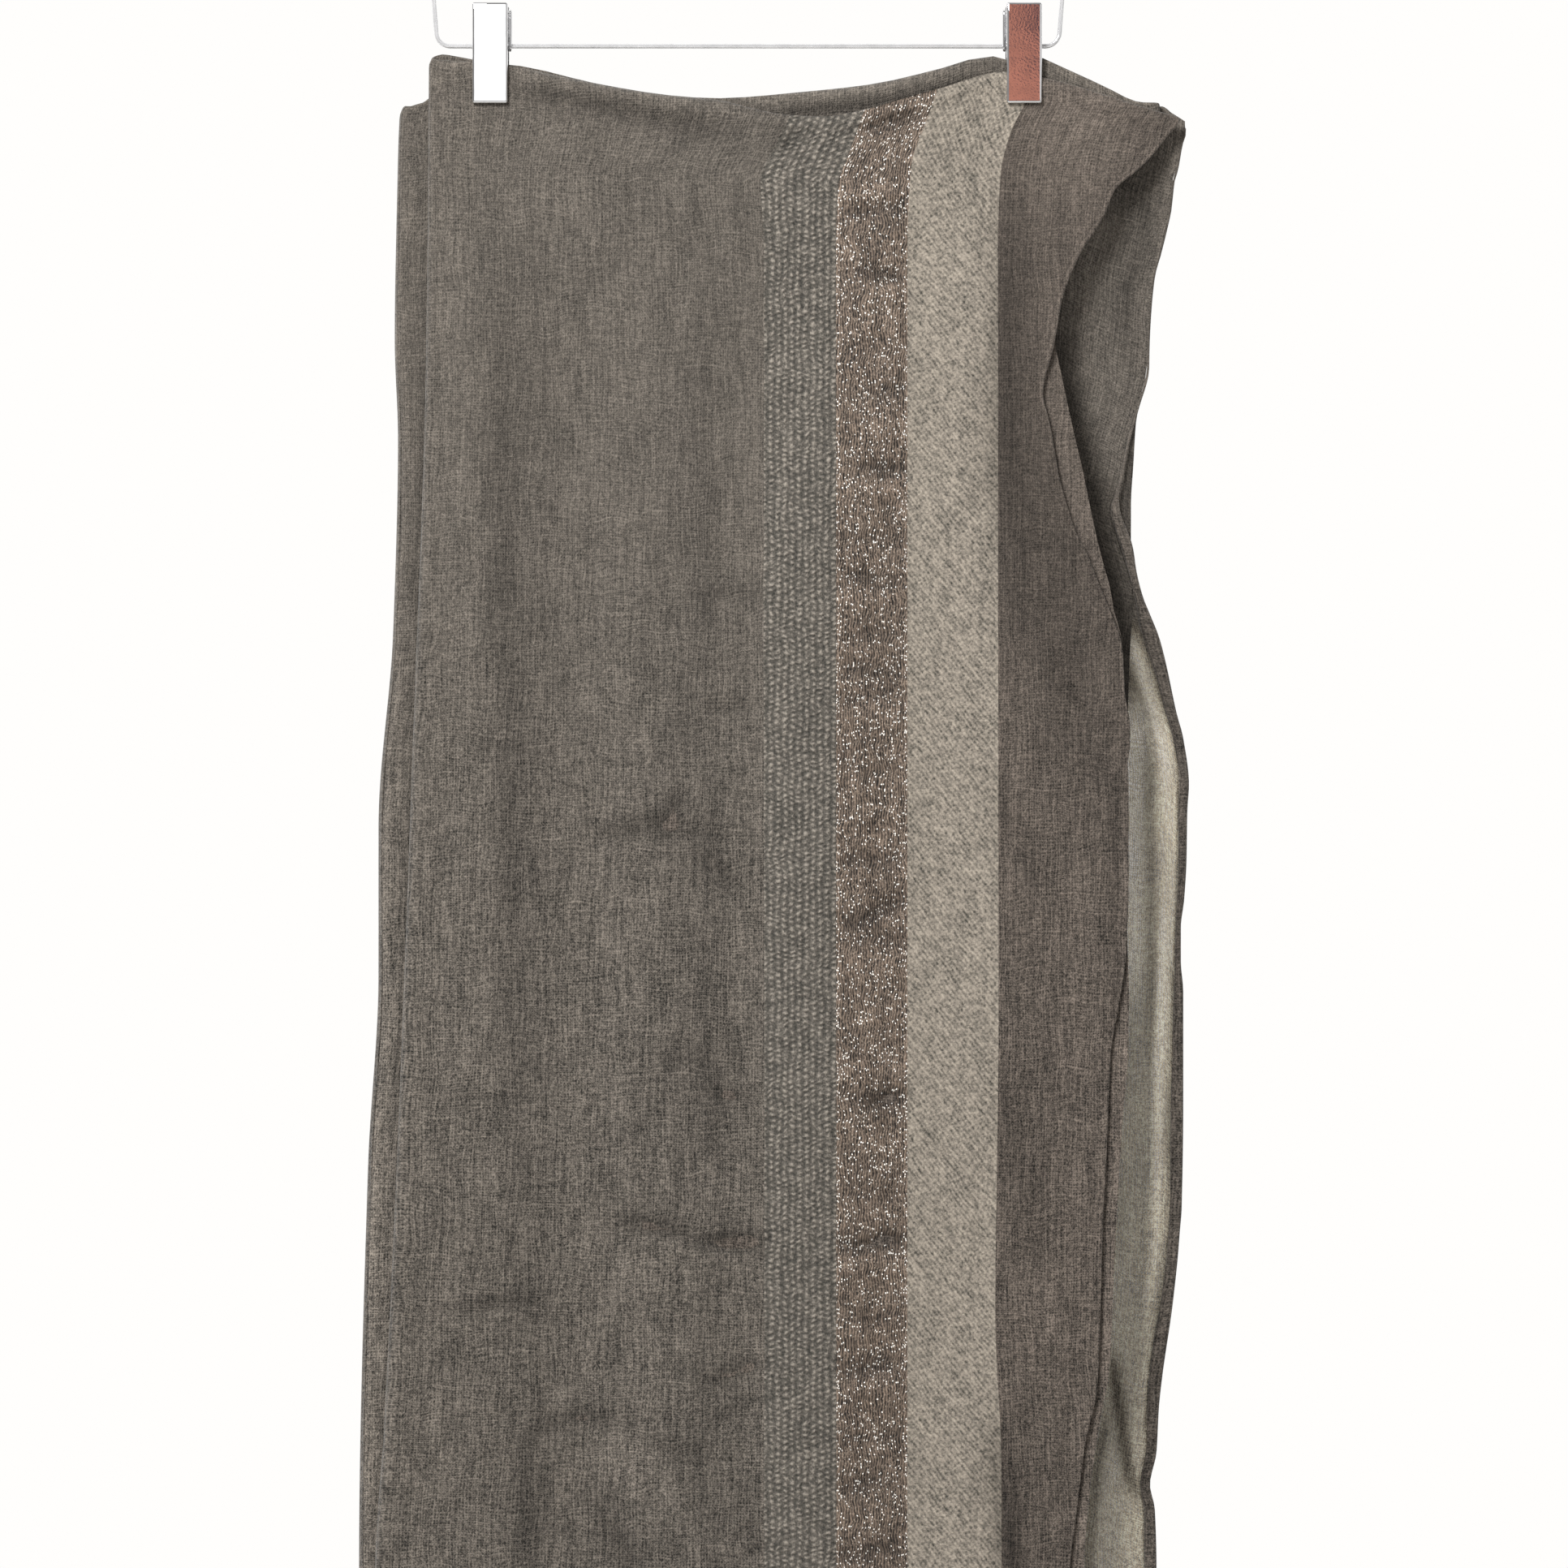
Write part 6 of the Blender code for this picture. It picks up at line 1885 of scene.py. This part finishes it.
class SHAWL_OT_clips(bpy.types.Operator):
    """Adds the two clips: their jaws, springs and rings"""

    bl_idname = "shawl.clips"
    bl_label = "Clips"

    def execute(self, context):
        hanger = context.scene.shawl_hanger
        chrome = chrome_material("clip_chrome", 0.035)
        sides = (("left", LEFT_CLIP_MIDDLE, 1), ("right", RIGHT_CLIP_MIDDLE, -1))
        for side, middle, inward in sides:
            for hand, facing_way in (("front", -1), ("back", 1)):
                jaw = self.jaw(f"{side}_{hand}_jaw_plate", middle, facing_way, hanger, chrome)
                place_piece(jaw, "chrome", f"{side}_clip_{hand}_jaw")
            spring = self.spring(f"{side}_spring_coil", middle, chrome)
            place_piece(spring, "chrome", f"{side}_clip_spring")
            ring = self.ring(f"{side}_ring_wire", middle, inward, hanger, chrome)
            place_piece(ring, "chrome", f"{side}_clip_ring")
        return {"FINISHED"}

    def jaw(self, name, middle, facing_way, hanger, chrome):
        """A pressed plate: a shallow tray bent at the pivot, its rims folded to the inside."""
        grip = 1.5 * PINCHED_PITCH + FOLD_ALLOWANCE + GAP + CLIP_METAL
        mouth = grip + CLIP_MOUTH_EASE
        pivot = SPRING_RADIUS + GAP + CLIP_METAL
        deselect()
        height = CLIP_TOP_RISE + CLIP_BOTTOM_DROP
        centre = -BAR_DROP + (CLIP_TOP_RISE - CLIP_BOTTOM_DROP) / 2
        rim = hanger.clip_rim
        bpy.ops.mesh.primitive_cube_add(
            size=1.0, location=(middle, facing_way * (pivot - rim / 2), centre),
            scale=(hanger.clip_face, rim, height))
        jaw = bpy.context.object
        jaw.name = name
        bpy.ops.object.transform_apply(location=True, rotation=True, scale=True)
        bpy.ops.object.mode_set(mode="EDIT")
        inside = facing_way * (pivot - rim)
        choose(jaw, "FACE", lambda c, f: abs(c.y - inside) < 1e-6)
        bpy.ops.mesh.delete(type="ONLY_FACE")
        outside = facing_way * pivot
        choose(jaw, "EDGE", lambda c, e: abs(c.y - outside) < 1e-6
               or abs((e.verts[0].co - e.verts[1].co).y) > rim * 0.5)
        bpy.ops.mesh.bevel(offset=CLIP_BEVEL, segments=4, affect="EDGES")
        for level in (SPRING_RADIUS, -SPRING_RADIUS, CLIP_LOWER_CUT):
            bpy.ops.mesh.select_all(action="SELECT")
            bpy.ops.mesh.bisect(plane_co=(middle, 0, -BAR_DROP + level), plane_no=(0, 0, 1))
        bpy.ops.object.mode_set(mode="OBJECT")
        self.lean(jaw, facing_way, pivot, mouth)
        apply_modifier(jaw, "SOLIDIFY", thickness=CLIP_METAL, offset=-1.0, use_even_offset=True)
        jaw.data.materials.append(chrome)
        make_active(jaw)
        bpy.ops.object.shade_smooth_by_angle(angle=math.radians(35))
        for face in jaw.data.polygons:
            face.use_smooth = face.area < CLIP_BEVEL_FACE_AREA
        return jaw

    def lean(self, jaw, facing_way, pivot, mouth):
        """Leans the lower part in to the cloth and the handle out, about the pivot's two levels."""
        for vertex in jaw.data.vertices:
            level = vertex.co.z + BAR_DROP
            if level < -SPRING_RADIUS:
                share = (-SPRING_RADIUS - level) / (CLIP_BOTTOM_DROP - SPRING_RADIUS)
                vertex.co.y += facing_way * (mouth - pivot) * share
            elif level > SPRING_RADIUS:
                share = (level - SPRING_RADIUS) / (CLIP_TOP_RISE - SPRING_RADIUS)
                vertex.co.y += facing_way * CLIP_HANDLE_FLARE * share

    def spring(self, name, middle, chrome):
        """A coil of wire round the bar, between the two jaws."""
        angles = np.linspace(0, 2 * np.pi * SPRING_TURNS, SPRING_TURNS * 20 + 1)
        bend_radius = SPRING_RADIUS - SPRING_WIRE_RADIUS
        along = np.linspace(-SPRING_HALF_LENGTH, SPRING_HALF_LENGTH, angles.size)
        points = []
        for x, angle in zip(along, angles):
            level = -BAR_DROP + bend_radius * math.sin(angle)
            points.append(Vector((middle + x, bend_radius * math.cos(angle), level)))
        return tube(name, points, SPRING_WIRE_RADIUS, chrome, 8)

    def ring(self, name, middle, inward, hanger, chrome):
        """The wire loop beside a clip that rides on the bar."""
        across = middle + inward * (hanger.clip_face / 2 + GAP + RING_WIRE_RADIUS)
        half_depth = hanger.wire_radius + GAP + RING_WIRE_RADIUS
        low = -BAR_DROP
        high = -BAR_DROP + 2 * RING_HALF_HEIGHT - 2 * half_depth
        points = []
        for base, first in ((low, 180), (high, 0)):
            for angle in np.radians(np.linspace(first, first + 180, 13)):
                points.append(Vector((across, half_depth * math.cos(angle),
                                      base + half_depth * math.sin(angle))))
        return tube(name, points, RING_WIRE_RADIUS, chrome, 12, closed=True)


class SHAWL_OT_stage(bpy.types.Operator):
    """Adds the floor, the surroundings, the lights and the camera"""

    bl_idname = "shawl.stage"
    bl_label = "Stage"

    def execute(self, context):
        stage = context.scene.shawl_stage
        self.floor(stage)
        self.world()
        middle = Vector((stage.camera_across, 0, stage.camera_height))
        aim = middle + Vector((0, 0, KEY_AIM))
        self.light("key_light", KEY_PLACE, aim, KEY_SIZE, stage.key_power)
        self.light("fill_light", FILL_PLACE, middle, FILL_SIZE, stage.fill_power)
        data = bpy.data.cameras.new("camera")
        data.sensor_width = SENSOR_WIDTH
        data.lens = SENSOR_WIDTH * stage.camera_distance / stage.frame_width
        data.dof.use_dof = False
        data.clip_start = 0.05
        data.clip_end = 50
        camera = bpy.data.objects.new("camera", data)
        camera.location = (stage.camera_across, -stage.camera_distance, stage.camera_height)
        camera.rotation_euler = (math.pi / 2, 0, 0)
        bpy.context.scene.collection.objects.link(camera)
        bpy.context.scene.camera = camera
        bpy.context.scene.view_settings.view_transform = "Standard"
        return {"FINISHED"}

    def floor(self, stage):
        deselect()
        bpy.ops.mesh.primitive_circle_add(
            vertices=96, radius=FLOOR_RADIUS, fill_type="NGON", location=(0, 0, stage.floor_height))
        floor = bpy.context.object
        floor.name = "floor"
        maker = Maker("pale_floor", Roughness=0.85)
        place = maker.node("ShaderNodeTexCoord", None, None, output=3)
        grain = maker.node("ShaderNodeTexNoise", None, {"Vector": place, "Scale": 40.0})
        maker.colour(maker.mix(grain, FLOOR_DARK, FLOOR_PALE))
        floor.data.materials.append(maker.material)

    def world(self):
        """A white room behind the shawl, dimmer behind the camera, where a pale window and a
        warm brown wall stand side by side and are mirrored in the clips."""
        world = bpy.data.worlds.new("room")
        world.use_nodes = True
        tree = world.node_tree
        place = tree.nodes.new("ShaderNodeTexCoord")
        parts = tree.nodes.new("ShaderNodeSeparateXYZ")
        tree.links.new(place.outputs["Generated"], parts.inputs[0])

        def between(output, low, high):
            made = tree.nodes.new("ShaderNodeMapRange")
            made.interpolation_type = "SMOOTHSTEP"
            made.inputs["From Min"].default_value = low
            made.inputs["From Max"].default_value = high
            tree.links.new(parts.outputs[output], made.inputs["Value"])
            return made.outputs[0]

        def mix(factor, first, second):
            made = tree.nodes.new("ShaderNodeMix")
            made.data_type = "RGBA"
            tree.links.new(factor, made.inputs["Factor"])
            for socket, value in ((made.inputs[6], first), (made.inputs[7], second)):
                if isinstance(value, tuple):
                    socket.default_value = value
                else:
                    tree.links.new(value, socket)
            return made.outputs[2]

        def times(first, second):
            made = tree.nodes.new("ShaderNodeMath")
            made.operation = "MULTIPLY"
            tree.links.new(first, made.inputs[0])
            tree.links.new(second, made.inputs[1])
            return made.outputs[0]

        room = mix(between("Y", -0.10, 0.20), ROOM_FRONT, ROOM_BACK)
        ahead = times(between("Z", 0.070, 0.085), between("Z", 0.200, 0.185))
        ahead = times(ahead, between("Y", -0.93, -0.96))
        window = times(times(ahead, between("X", -0.090, -0.080)), between("X", -0.030, -0.040))
        wall = times(times(ahead, between("X", 0.078, 0.068)), between("X", 0.024, 0.034))
        room = mix(window, room, WINDOW)
        right = between("X", 0.0485, 0.0545)
        handle_tone = mix(times(right, between("Z", 0.140, 0.125)), WARM_WALL, DARK_WALL)
        wall_tone = mix(times(right, between("Z", 0.149, 0.161)), handle_tone, DARK_WALL)
        room = mix(wall, room, wall_tone)
        tree.links.new(room, tree.nodes["Background"].inputs["Color"])
        bpy.context.scene.world = world

    def light(self, name, place, target, size, power):
        data = bpy.data.lights.new(name, "AREA")
        data.shape = "SQUARE"
        data.size = size
        data.energy = power
        lamp = bpy.data.objects.new(name, data)
        lamp.location = place
        lamp.rotation_euler = (target - Vector(place)).to_track_quat("-Z", "Y").to_euler()
        bpy.context.scene.collection.objects.link(lamp)


class SHAWL_PT_panel(bpy.types.Panel):
    """Lists the shawl's pieces"""

    bl_idname = "SHAWL_PT_panel"
    bl_label = "Shawl on a clip hanger"
    bl_space_type = "VIEW_3D"
    bl_region_type = "UI"
    bl_category = "Shawl"

    def draw(self, context):
        for settings in ("shawl_cloth", "shawl_hanger", "shawl_stage"):
            group = getattr(context.scene, settings)
            box = self.layout.box()
            for key in group.bl_rna.properties.keys():
                if key not in ("rna_type", "name"):
                    box.prop(group, key)
        for operator in OPERATORS:
            self.layout.operator(operator.bl_idname)


OPERATORS = (
    SHAWL_OT_rear_cloth,
    SHAWL_OT_back_leaf,
    SHAWL_OT_rolled_hem,
    SHAWL_OT_front_inner_leaf,
    SHAWL_OT_front_leaf,
    SHAWL_OT_wires,
    SHAWL_OT_clips,
    SHAWL_OT_stage,
)
CLASSES = (ShawlClothSettings, ShawlHangerSettings, ShawlStageSettings, *OPERATORS, SHAWL_PT_panel)


def register():
    for cls in CLASSES:
        bpy.utils.register_class(cls)
    bpy.types.Scene.shawl_cloth = PointerProperty(type=ShawlClothSettings)
    bpy.types.Scene.shawl_hanger = PointerProperty(type=ShawlHangerSettings)
    bpy.types.Scene.shawl_stage = PointerProperty(type=ShawlStageSettings)


def unregister():
    del bpy.types.Scene.shawl_cloth
    del bpy.types.Scene.shawl_hanger
    del bpy.types.Scene.shawl_stage
    for cls in reversed(CLASSES):
        bpy.utils.unregister_class(cls)


def main():
    register()
    for operator in OPERATORS:
        group, name = operator.bl_idname.split(".")
        getattr(getattr(bpy.ops, group), name)()


if __name__ == "__main__":
    main()
